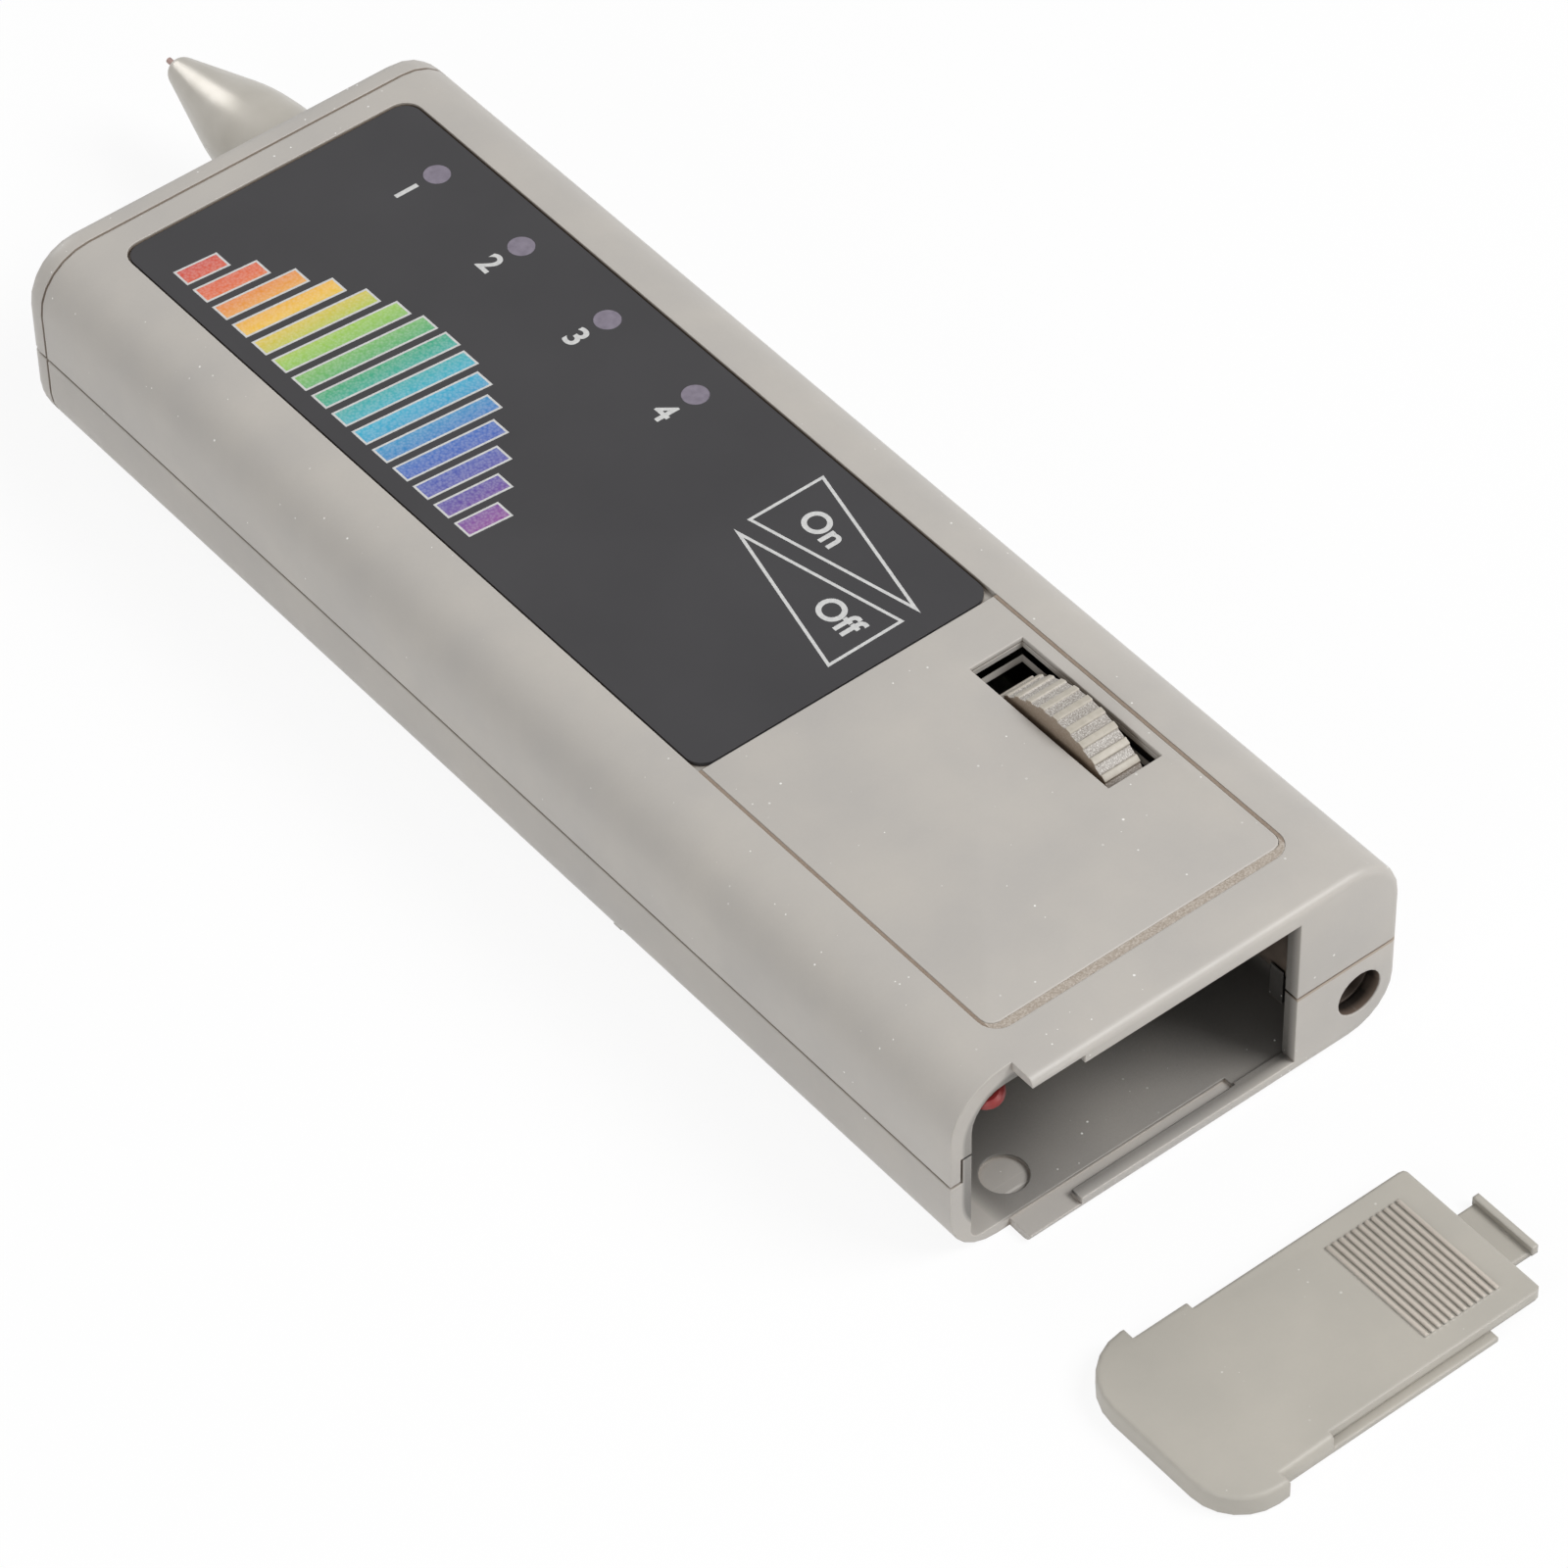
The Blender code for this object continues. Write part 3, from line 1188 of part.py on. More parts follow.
def make_board():
    """The board with a tail beside the battery and a slot for the wheel."""
    outline = [
        (TAIL_LEFT, TAIL_REAR),
        (BOARD_SIDE, TAIL_REAR),
        (BOARD_SIDE, BOARD_FRONT),
        (-BOARD_SIDE, BOARD_FRONT),
        (-BOARD_SIDE, BOARD_REAR),
        (TAIL_LEFT, BOARD_REAR),
    ]
    drop = WHEEL_HEIGHT - BOARD_TOP
    half = math.sqrt(WHEEL_RADIUS**2 - drop**2) + WHEEL_CLEARANCE
    left = WHEEL_LEFT - WHEEL_CLEARANCE
    right = left + WHEEL_WIDTH + 2 * WHEEL_CLEARANCE
    slot = [(left, WHEEL_Y - half), (right, WHEEL_Y - half), (right, WHEEL_Y + half), (left, WHEEL_Y + half)]
    holes = [circle(place, BOARD_SCREW_RADIUS + GAP, TINY_STEPS) for place in post_places()]
    holes += [circle(place, SWITCH_PIN_RADIUS + GAP, TINY_STEPS) for place in switch_pin_places()]
    middle = BOARD_UNDERSIDE + BOARD_THICKNESS / 2
    shape = plate("circuit_board", [outline, slot, *holes], BOARD_THICKNESS, location=(0, 0, middle))
    piece("circuit_board", shape, "board_laminate")


def make_lamps():
    """Four lamps on long legs, each under its window."""
    top = RECESS_FLOOR - SHEET_LIFT
    shoulder = top - LAMP_RADIUS
    base = top - LAMP_LENGTH
    for number, (x, y) in enumerate(lamp_places(), 1):
        dome = arc((0, shoulder), LAMP_RADIUS, math.pi / 2, 0, RIM_STEPS)
        flange = LAMP_FLANGE - GAP
        profile = [
            *dome,
            (LAMP_RADIUS, base + LAMP_FLANGE_HEIGHT),
            (flange, base + LAMP_FLANGE_HEIGHT),
            (flange, base),
            (0, base),
        ]
        profile[0] = (0, top)
        lamp = turned("lamp", profile, location=(x, y, 0), steps=SMALL_STEPS)
        leg_places = [(x + side * LAMP_LEG_PITCH / 2, y) for side in (-1, 1)]
        join(lamp, *upright_rods("leg", leg_places, LAMP_LEG_RADIUS, BOARD_TOP + GAP, base + GAP, TINY_STEPS))
        piece(f"led_{number}", lamp, "lamp_resin")


def make_chip(name, legs, shares):
    """A dual-row chip lying along Y, with a notch at its front end."""
    base = BOARD_TOP + GAP
    across, along = on_board(shares)
    half_length = (legs - 1) * CHIP_LEG_PITCH / 2 + CHIP_END
    half_width = CHIP_WIDTH / 2
    low = (across - half_width, along - half_length, base + CHIP_LIFT)
    high = (across + half_width, along + half_length, base + CHIP_LIFT + CHIP_HEIGHT)
    body = box(name, low, high)
    notch_low = (across, along + half_length, base + CHIP_HEIGHT)
    notch_high = (across, along + half_length, base + CHIP_LIFT + CHIP_HEIGHT + OVERRUN)
    cut(body, rod("notch", CHIP_NOTCH, notch_low, notch_high, steps=TINY_STEPS))
    feet = []
    for number in range(legs):
        y = along - half_length + CHIP_END + number * CHIP_LEG_PITCH
        for side in (-1, 1):
            inner = across + side * (half_width - CHIP_LEG_THICKNESS / 2)
            outer = across + side * (half_width + CHIP_LEG_THICKNESS)
            feet.append(
                box(
                    "foot",
                    (min(inner, outer), y - CHIP_LEG_WIDTH / 2, base),
                    (max(inner, outer), y + CHIP_LEG_WIDTH / 2, base + CHIP_LEG_TOP),
                )
            )
    join(body, group("feet", feet))
    piece(name, body, "black_plastic")


def make_small_parts():
    """The groups of small parts on the board, and the buzzer."""
    base = BOARD_TOP + GAP
    waist = CAPACITOR_RADIUS - CAPACITOR_GROOVE
    height = CEILING - CAPACITOR_ROOM - base
    can = [
        (0, height),
        (CAPACITOR_RADIUS, height),
        (CAPACITOR_RADIUS, CAPACITOR_GROOVE_HEIGHT + CAPACITOR_GROOVE),
        (waist, CAPACITOR_GROOVE_HEIGHT),
        (CAPACITOR_RADIUS, CAPACITOR_GROOVE_HEIGHT - CAPACITOR_GROOVE),
        (CAPACITOR_RADIUS, 0),
        (0, 0),
    ]
    for number, shares in enumerate(CAPACITOR_SHARES, 1):
        shape = turned("can", can, location=(*on_board(shares), base), steps=SMALL_STEPS)
        piece(f"capacitor_{number}", shape, "part_body")

    half = RESISTOR_LENGTH / 2
    barrel = [
        (0, half + RESISTOR_WIRE_LENGTH),
        (RESISTOR_WIRE, half + RESISTOR_WIRE_LENGTH),
        (RESISTOR_WIRE, half),
        (RESISTOR_RADIUS, half),
        (RESISTOR_RADIUS, half - RESISTOR_CAP),
        (RESISTOR_WAIST, half - RESISTOR_CAP),
    ]
    barrel += [(radius, -height) for radius, height in reversed(barrel)]
    x, first = on_board(RESISTOR_SHARES)
    for number in range(RESISTOR_COUNT):
        place = (x, first + number * RESISTOR_PITCH, base + RESISTOR_RADIUS)
        piece(f"resistor_{number + 1}", turned("barrel", barrel, ALONG_X, place, TINY_STEPS), "insulator")

    for number, shares in enumerate(TRANSISTOR_SHARES, 1):
        x, y = on_board(shares)
        outline = arc((0, 0), TRANSISTOR_RADIUS, -math.pi / 4, math.pi * 5 / 4, CORNER_STEPS)
        middle = base + TRANSISTOR_LIFT + TRANSISTOR_HEIGHT / 2
        shape = plate("half_round", [outline], TRANSISTOR_HEIGHT, location=(x, y, middle))
        leg_places = [(x + side * TRANSISTOR_LEG_PITCH, y) for side in (-1, 0, 1)]
        leg_top = base + TRANSISTOR_LIFT + GAP
        join(shape, *upright_rods("leg", leg_places, TRANSISTOR_LEG, base, leg_top, TINY_STEPS))
        piece(f"transistor_{number}", shape, "black_plastic")

    for number, shares in enumerate(TRIMMER_SHARES, 1):
        x, y = on_board(shares)
        half = TRIMMER_SIZE / 2
        top = base + TRIMMER_HEIGHT
        block = box("block", (x - half, y - half, base), (x + half, y + half, top))
        dial_low = (x, y, top - TRIMMER_DIAL_HEIGHT)
        join(block, rod("dial", TRIMMER_DIAL_RADIUS, dial_low, (x, y, top + TRIMMER_DIAL_HEIGHT)))
        piece(f"trimmer_{number}", block, "part_body")

    height = CEILING - BUZZER_ROOM - base
    drum = [
        (BUZZER_HOLE, height),
        (BUZZER_RADIUS, height),
        (BUZZER_RADIUS, 0),
        (0, 0),
        (0, BUZZER_WALL),
        (BUZZER_RADIUS - BUZZER_WALL, BUZZER_WALL),
        (BUZZER_RADIUS - BUZZER_WALL, height - BUZZER_WALL),
        (BUZZER_HOLE, height - BUZZER_WALL),
        (BUZZER_HOLE, height),
    ]
    shape = turned("buzzer", drum, location=(*on_board(BUZZER_SHARES), base), steps=ROUND_STEPS)
    piece("buzzer", shape, "black_plastic")


# Screws
def screw(radius, head_radius, head_height, length, place, head_low, upward):
    """A round-headed screw with its shank above or below its head."""
    direction = 1 if upward else -1
    x, y = place
    near = head_low if upward else head_low + head_height
    far = near + direction * head_height
    end = far + direction * length
    profile = [(0, near), (head_radius, near), (head_radius, far), (radius, far), (radius, end), (0, end)]
    if upward:
        profile.reverse()
    return turned("screw", profile, location=(x, y, 0), steps=SMALL_STEPS)


def make_screws():
    """The four case screws with their crossed slots, and the four board screws."""
    for number, place in enumerate(column_places(), 1):
        x, y = place
        sizes = (SCREW_RADIUS, SCREW_HEAD_RADIUS, SCREW_HEAD_HEIGHT, SCREW_LENGTH)
        shape = screw(*sizes, place, SCREW_SINK, True)
        cross = (SCREW_CROSS_LENGTH, SCREW_CROSS_WIDTH)
        for across, along in (cross, reversed(cross)):
            low = (x - across / 2, y - along / 2, SCREW_SINK - OVERRUN)
            cut(shape, box("cross", low, (x + across / 2, y + along / 2, SCREW_SINK + SCREW_CROSS_DEPTH)))
        piece(f"case_screw_{number}", shape, "steel")
    head_low = BOARD_TOP + GAP
    sizes = (BOARD_SCREW_RADIUS, BOARD_SCREW_HEAD_RADIUS, BOARD_SCREW_HEAD, BOARD_SCREW_LENGTH)
    for number, place in enumerate(post_places(), 1):
        piece(f"board_screw_{number}", screw(*sizes, place, head_low, False), "steel")


# Adapter jack
def make_jack():
    """The round jack behind its hole, with its centre pin."""
    rear = JACK_LENGTH - JACK_BASE
    barrel = [
        (JACK_RADIUS, JACK_LENGTH),
        (JACK_RADIUS, 0),
        (JACK_BORE, 0),
        (JACK_BORE, rear),
        (0, rear),
        (0, JACK_LENGTH),
        (JACK_RADIUS, JACK_LENGTH),
    ]
    place = (JACK_OFFSET, JACK_FACE, JACK_HEIGHT)
    piece("adapter_jack", turned("jack", barrel, ALONG_Y, place), "black_plastic")
    start = (JACK_OFFSET, REAR + JACK_PIN_SETBACK, JACK_HEIGHT)
    end = (JACK_OFFSET, JACK_FACE + rear - GAP, JACK_HEIGHT)
    piece("jack_pin", rod("jack_pin", JACK_PIN_RADIUS, start, end, ALONG_Y), "steel")


# Battery snap
def make_snap():
    """The battery's connector at the end of the bay, with its two contacts and leads."""
    half = SNAP_THICKNESS / 2
    middle = (BAY_LEFT + BAY_RIGHT) / 2
    width = BATTERY_WIDTH - 2 * GAP
    low = (middle - width / 2, SNAP_RAISE)
    high = (middle + width / 2, SNAP_TOP)
    front = BAY_END - GAP
    outline = rounded_rectangle(low, high, SNAP_CORNER, SNAP_CORNER, steps=RIM_STEPS)
    strap = plate("battery_snap", [outline], SNAP_THICKNESS, OUTLINE_XZ, (0, front - half, 0))
    piece("battery_snap", strap, "black_rubber")

    rear = front - SNAP_THICKNESS - GAP
    level = (SNAP_RAISE + SNAP_TOP) / 2
    left = middle - SNAP_CONTACT_PITCH / 2
    height = SNAP_CONTACT_HEIGHT
    third = height / 3
    stud = [
        (0, height),
        (STUD_NECK_RADIUS, height),
        (STUD_NECK_RADIUS, 2 * third),
        (STUD_TOP_RADIUS, third),
        (STUD_TOP_RADIUS, 0),
        (0, 0),
    ]
    socket = [
        (0, height),
        (SOCKET_RADIUS, height),
        (SOCKET_RADIUS, 0),
        (SOCKET_BORE, 0),
        (SOCKET_BORE, 2 * third),
        (0, 2 * third),
    ]
    right = left + SNAP_CONTACT_PITCH
    piece("snap_stud", turned("stud", stud, ALONG_Y, (left, rear - height, level), SMALL_STEPS), "steel")
    shape = turned("socket", socket, ALONG_Y, (right, rear - height, level), SMALL_STEPS)
    piece("snap_socket", shape, "steel")

    # The leads run from the strap's top to the board; the red one first loops forward to the mouth and back
    red = tube("red_lead", LEAD_RADIUS, smooth_route(lead_places(RED_LEAD_ROUTE, RED_LEAD_SHARES)))
    piece("red_lead", red, "red_rubber")
    black = tube("black_lead", LEAD_RADIUS, smooth_route(lead_places(BLACK_LEAD_ROUTE, BLACK_LEAD_SHARES)))
    piece("black_lead", black, "black_rubber")


def lead_places(route, shares):
    """A lead's hand-chosen points as places in the part's frame."""
    room = CEILING - BOARD_TOP
    return [
        (x * MM - SIDE, REAR + y * MM, BOARD_TOP + share * room) for (x, y), share in zip(route, shares)
    ]


# Battery cover
def beside_plate(name, rail, right, outer, edge):
    """What the cover leaves free for one rail, round the plate's corner at its right end."""
    inward = COVER_CORNER if edge > outer else -COVER_CORNER
    far = right + OVERRUN
    quarter = math.pi / 2 if edge > outer else -math.pi / 2
    corner = arc((right - COVER_CORNER, edge + inward), COVER_CORNER, 0, -quarter, RIM_STEPS)
    outline = [(rail, outer), (far, outer), (far, edge + inward), *corner, (rail, edge)]
    face = COVER_PLATE + COVER_GROOVE
    thickness = face + OVERRUN
    return plate(name, [outline], thickness, OUTLINE_XZ, (0, face - thickness / 2, 0))


def make_cover():
    """The sliding cover, modelled in its seat and then laid outer face up on the table."""
    right = MOUTH_RIGHT - GAP
    ear_right = LIP_LEFT - GAP
    rail = RAIL_LEFT - GAP
    low = SLOT_FLOOR + GAP
    high = UPPER_SLOT - GAP
    outline = rounded_rectangle(
        (-SIDE, 0), (ear_right, CASE_HEIGHT), BOTTOM_EDGE_RADIUS, TOP_EDGE_RADIUS, right_square=True
    )
    outline[:2] = [
        (ear_right, 0),
        (ear_right, low),
        (right, low),
        (right, high),
        (ear_right, high),
        (ear_right, CASE_HEIGHT),
    ]
    middle = COVER_THICKNESS / 2
    rims = ((1, COVER_RIM_RADIUS), (-1, COVER_BACK_EDGE))
    shape = plate("battery_cover", [outline], COVER_THICKNESS, OUTLINE_XZ, (0, middle, 0), rims)

    flange_face = COVER_PLATE + COVER_GROOVE
    far = right + OVERRUN
    plate_low = RAIL_HEIGHT + GAP
    plate_high = UPPER_RAIL - GAP
    web_low = plate_low + COVER_WEB_INSET
    web_high = plate_high - COVER_WEB_INSET
    flange_right = SLOT_RIGHT - GAP
    back = COVER_THICKNESS + OVERRUN
    cut(
        shape,
        beside_plate("rail_below", rail, right, -OVERRUN, plate_low),
        beside_plate("rail_above", rail, right, CASE_HEIGHT + OVERRUN, plate_high),
        box("groove_below", (rail, COVER_PLATE, 0), (far, flange_face, web_low)),
        box("groove_above", (rail, COVER_PLATE, web_high), (far, flange_face, CASE_HEIGHT)),
        box("beyond_flange", (flange_right, COVER_PLATE, 0), (far, back, CASE_HEIGHT)),
        box(
            "hollow_back",
            (COVER_BACK_RIM - SIDE, COVER_PLATE + GAP, web_low + COVER_BACK_RIM),
            (flange_right - COVER_BACK_RIM, back, web_high - COVER_BACK_RIM),
        ),
    )
    tongue_low = SEAM_HEIGHT + GAP - TONGUE_WIDTH / 2
    tongue_high = tongue_low + TONGUE_WIDTH
    sheet = COVER_THICKNESS - TONGUE_SHEET
    reach = right + TONGUE_REACH
    grips_right = right - GRIP_FROM_END
    grips_low = (plate_low + plate_high - GRIP_LENGTH) / 2
    join(
        shape,
        box(
            "tongue_root",
            (right - TONGUE_BLOCK - OVERRUN, COVER_PLATE / 2, tongue_low),
            (right - OVERRUN, COVER_THICKNESS, tongue_high),
        ),
        box(
            "tongue",
            (right - TONGUE_BLOCK, sheet, tongue_low + GAP),
            (reach, COVER_THICKNESS, tongue_high - GAP),
        ),
        box(
            "catch",
            (reach - CATCH_LENGTH, sheet - CATCH_HEIGHT, tongue_low),
            (reach + WELD, COVER_THICKNESS - TONGUE_SHEET / 2, tongue_high),
        ),
        *(
            box(
                "grip",
                (grips_right - number * GRIP_PITCH - GRIP_WIDTH, -GRIP_HEIGHT, grips_low),
                (grips_right - number * GRIP_PITCH, COVER_PLATE / 2, grips_low + GRIP_LENGTH),
            )
            for number in range(GRIP_COUNT)
        ),
    )
    piece("battery_cover", shape, "case_plastic")
    lay_down([shape, *(step.object for step in shape.modifiers)])


def lay_down(shapes):
    """Turns the cover and its tools from the seat, outer face back, to the table, outer face up."""
    seat = bpy.data.objects.new("cover_seat", None)
    parts.objects.link(seat)
    for shape in shapes:
        shape.parent = seat
    seat.rotation_euler = (math.radians(-90), 0, 0)
    seat.location = (-COVER_SHIFT, REAR - COVER_DISTANCE - CASE_HEIGHT, COVER_THICKNESS)


make_upper_shell()
make_lower_shell()
make_touch_plate()
make_label()
make_panel()
make_wheel()
make_switch()
make_nose()
make_guide()
make_tip()
make_plug()
make_board()
make_lamps()
make_chip("amplifier_chip", AMPLIFIER_LEGS, AMPLIFIER_SHARES)
make_chip("comparator_chip", COMPARATOR_LEGS, COMPARATOR_SHARES)
make_small_parts()
make_screws()
make_jack()
make_snap()
make_cover()
bpy.context.view_layer.update()
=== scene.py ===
"""The looks of a hand-held heat tester lying flat, with its battery cover beside it."""
import bpy
import bmesh
import json
import math
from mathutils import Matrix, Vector

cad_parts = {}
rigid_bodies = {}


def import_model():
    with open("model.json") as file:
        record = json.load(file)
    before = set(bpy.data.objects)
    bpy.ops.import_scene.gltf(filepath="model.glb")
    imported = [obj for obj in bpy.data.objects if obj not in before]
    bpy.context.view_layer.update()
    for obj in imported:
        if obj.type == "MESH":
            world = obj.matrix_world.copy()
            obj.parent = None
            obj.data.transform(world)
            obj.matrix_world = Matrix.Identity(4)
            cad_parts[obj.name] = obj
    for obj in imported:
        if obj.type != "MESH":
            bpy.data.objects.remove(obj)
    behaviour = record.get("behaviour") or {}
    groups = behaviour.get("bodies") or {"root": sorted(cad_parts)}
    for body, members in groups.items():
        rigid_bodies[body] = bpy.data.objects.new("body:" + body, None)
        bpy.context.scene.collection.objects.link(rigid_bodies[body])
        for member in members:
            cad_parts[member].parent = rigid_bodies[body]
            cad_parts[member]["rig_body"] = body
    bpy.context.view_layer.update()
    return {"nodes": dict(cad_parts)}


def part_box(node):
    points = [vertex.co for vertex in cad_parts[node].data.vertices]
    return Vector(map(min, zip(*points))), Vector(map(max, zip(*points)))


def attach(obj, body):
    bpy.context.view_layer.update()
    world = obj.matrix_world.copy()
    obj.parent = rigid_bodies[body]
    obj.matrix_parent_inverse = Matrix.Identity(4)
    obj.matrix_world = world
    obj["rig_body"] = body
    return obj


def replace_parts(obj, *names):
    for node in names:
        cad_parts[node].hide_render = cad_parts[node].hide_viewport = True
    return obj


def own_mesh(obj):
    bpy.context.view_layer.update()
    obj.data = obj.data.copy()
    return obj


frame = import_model()
NODES = frame["nodes"]
MM = 0.001

# Camera: place and nearest distance in metres, turn in degrees, lens and sensor in millimetres
CAMERA_PLACE = (-0.3302, -0.43715, 0.56758)
CAMERA_TURN = (43.312, 0.815, -38.982)
CAMERA_LENS = 168.28
SENSOR_WIDTH = 36.0
NEAREST_SEEN = 0.02

# Studio: places and sizes in metres, lamps in watts
FLOOR_SIZE = 6.0
FLOOR_DROP = 0.05 * MM
FLOOR_ROUGHNESS = 0.9
FLOOR_WHITE_SHARE = 0.9
FLOOR_SEEN = 0.97
FLOOR_BOUNCE = 0.8
WORLD_LIGHT = 0.35
LAMPS = {
    "key": {"place": (0.62, -0.72, 1.02), "size": 0.7, "watts": 13.3},
    "fill": {"place": (-1.0, -0.35, 0.45), "size": 0.6, "watts": 3.6},
    "back": {"place": (-0.03, 1.5, 0.5), "size": 0.6, "watts": 4.0},
}

# Groove round the panel
LABEL_GAP = 0.3 * MM
REAR_GROOVE = 1.1 * MM
RECESS_CORNER = 2.4 * MM
PANEL_CORNER = 1.4 * MM
BED_GAP = 0.02 * MM
BED_THICKNESS = 0.55 * MM

# Lip of the wheel's slot, under the case's top
SLOT_LEFT = 10.75 * MM
SLOT_RIGHT = 17.95 * MM
SLOT_REAR = -56.0 * MM
SLOT_FRONT = -34.0 * MM
LIP_BOTTOM = 21.1 * MM
LIP_TOP = 23.38 * MM
LIP_THICKNESS = 0.8 * MM

# Label and its windows
LABEL_LOW, LABEL_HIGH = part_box("face_label")
LABEL_THICKNESS = LABEL_HIGH.z - LABEL_LOW.z
LABEL_MIDDLE = (LABEL_HIGH.z + LABEL_LOW.z) / 2
LABEL_CORNER = 2.2 * MM
WINDOW_COUNT = 4
WINDOW_RADIUS = 1.55 * MM
WINDOW_JOINT = 0.02 * MM
WINDOW_ACROSS = 14.6 * MM
WINDOW_FIRST = 62.2 * MM
WINDOW_PITCH = 15.3 * MM
WINDOW_PLACES = [(WINDOW_ACROSS, WINDOW_FIRST - number * WINDOW_PITCH) for number in range(WINDOW_COUNT)]

# Numerals, words and wedges
PRINT_LIFT = 0.004 * MM
PRINT_THICKNESS = 0.012 * MM
PRINT_LEVEL = LABEL_HIGH.z + PRINT_LIFT + PRINT_THICKNESS / 2
LETTER_BOLDNESS = 0.022
NUMERAL_SIZE = 4.2 * MM
NUMERAL_ACROSS = 10.2 * MM
WORD_SIZE = 4.4 * MM
WORD_PLACES = {
    "On": (12.1 * MM, -8.3 * MM),
    "Off": (5.1 * MM, -19.3 * MM),
}
WEDGE_LINE = 0.38 * MM
WEDGE_CORNERS = {
    "On": [(17.32 * MM, -2.1 * MM), (6.9 * MM, -2.1 * MM), (12.15 * MM, -24.5 * MM)],
    "Off": [(4.95 * MM, -2.3 * MM), (10.1 * MM, -24.3 * MM), (-0.25 * MM, -24.4 * MM)],
}

# Scale of slanted bars and its colours
BAR_COUNT = 15
BAR_FIRST = 66.6 * MM
BAR_PITCH = 3.62 * MM
BAR_WIDTH = 2.7 * MM
BAR_SLANT = 1.3 * MM
BAR_BASE = -17.2 * MM
BAR_LOW = 4.2 * MM
BAR_RISE = 13.0 * MM
BAR_LINE = 0.26 * MM
SPECTRUM_START = 69.0 * MM
SPECTRUM_END = 12.0 * MM

# Meshes and the rounding of their edges
MERGE_DISTANCE = 0.002 * MM
FLAT_ANGLE = math.radians(0.3)
SHARP_ANGLE = math.radians(32)
RIM_BAND = 0.1 * MM
PANEL_ROUNDING = 0.1 * MM
WHEEL_ROUNDING = 0.08 * MM
GRIP_ROUNDING = 0.2 * MM
SEAM_BEVEL = 0.16 * MM
SEAM_NEAR = 0.02 * MM

# Rounding that only the materials show
EDGE_ROUNDING = 0.25 * MM
COVER_ROUNDING = 0.5 * MM
SMALL_ROUNDING = 0.12 * MM
FILM_ROUNDING = 0.05 * MM

# Parts of the case, for the shades inside it and the wear on its rim
CASE_LOW, CASE_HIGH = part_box("lower_shell")[0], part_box("upper_shell")[1]
CASE_WALL = 1.4 * MM
END_WALL = 1.9 * MM
FLOOR_WALL = 1.0 * MM
INNER_CORNER = 7.0 * MM
HOLLOW_DEPTH = 24.0 * MM
HOLLOW_SOFT = 0.5 * MM
HOLLOW_END = 1.2 * MM
HOLLOW_SHADE = [(0.0, 0.0), (0.3, 0.05), (0.5, 0.23), (0.8, 0.56), (1.0, 0.62)]
RIM_REACH = 2.4 * MM
SCRATCH_START = 3.0 * MM
SCRATCH_REACH = 7.5 * MM
SCRATCH_LAYER = 0.3 * MM
SEAM_HEIGHT = sum(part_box("probe_nose"), Vector()).z / 2
SEAM_GAP = 0.3 * MM
SEAM_STAIN = 0.34 * MM
JACK_PLACE = sum(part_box("jack_pin"), Vector()) / 2
JACK_HOLE = 3.0 * MM
HOLE_RIM = 0.12 * MM

# Panel, wheel, cover and spring
PANEL_LOW, PANEL_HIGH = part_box("switch_panel")
WHEEL_LOW, WHEEL_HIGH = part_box("power_wheel")
WHEEL_RIDGE = 0.27 * MM
COVER_LOW, COVER_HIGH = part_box("battery_cover")
GRIP_TOPS = 0.2 * MM
GRIP_SOFT = 0.08 * MM

# Grain of the case's plastic: how wide its patches are, and how deep its bumps
CASE_CLOUD = 11.0 * MM
CASE_FLECK = 0.35 * MM
CASE_RUB = 6.0 * MM
CASE_SHEEN = 5.0 * MM
CASE_PIT = 0.28 * MM
CASE_PIT_DEPTH = 0.004 * MM
CASE_WAVE = 4.0 * MM
CASE_WAVE_DEPTH = 0.012 * MM
DUST_GROUP = 9.0 * MM
DUST_CELL = 1.3 * MM
DUST_SPECK = 0.15 * MM
RUB_GRAIN = 1.6 * MM
SCRATCH_GRAIN = 0.4 * MM

# How far the painted shade reaches from joints, corners and hollows, and how wide the pale edges are, which
# are partly wear and partly painted highlight
CASE_JOINT = 0.8 * MM
CASE_EDGE = 0.3 * MM
PANEL_JOINT = 0.5 * MM
PANEL_EDGE = 0.35 * MM
COVER_JOINT = 0.4 * MM
WHEEL_JOINT = 0.5 * MM
WHEEL_HOLLOW = 4.0 * MM
WHEEL_EDGE = 0.16 * MM
PAINT_JOINT = 1.5 * MM

# Grain of the other finishes
BED_GRAIN = 0.2 * MM
BED_DEPTH = 0.03 * MM
WHEEL_GRAIN = 0.13 * MM
WHEEL_CLOUD = 0.6 * MM
WHEEL_DEPTH = 0.012 * MM
FILM_CLOUD = 22.0 * MM
FILM_GRAIN = 0.5 * MM
FILM_DEPTH = 0.0025 * MM
WINDOW_CLOUD = 0.8 * MM
WINDOW_SHEEN = 0.6 * MM
WINDOW_GRAIN = 0.4 * MM
WINDOW_DEPTH = 0.004 * MM
PAINT_CLOUD = 5.0 * MM
PAINT_SHEEN = 2.0 * MM
PAINT_WAVE = 3.0 * MM
PAINT_DEPTH = 0.006 * MM
METAL_CLOUD = 1.5 * MM
METAL_LINE = 0.6 * MM
METAL_DEPTH = 0.003 * MM
BODY_CLOUD = 2.0 * MM
BODY_DEPTH = 0.006 * MM
INK_CLOUD = 0.5 * MM
INK_SHEEN = 0.4 * MM
INK_GRAIN = 0.3 * MM
INK_DEPTH = 0.002 * MM
INK_DOT = 0.32 * MM

# How far the roughness of metals and plain bodies goes below and above its middle value
SMOOTHER = 0.06
ROUGHER = 0.08


def srgb(red, green, blue):
    """A colour written as it looks on a screen, 0 to 255, as the linear values that a shader takes."""
    def linear(value):
        share = value / 255
        return share / 12.92 if share <= 0.04045 else ((share + 0.055) / 1.055) ** 2.4
    return (linear(red), linear(green), linear(blue), 1.0)
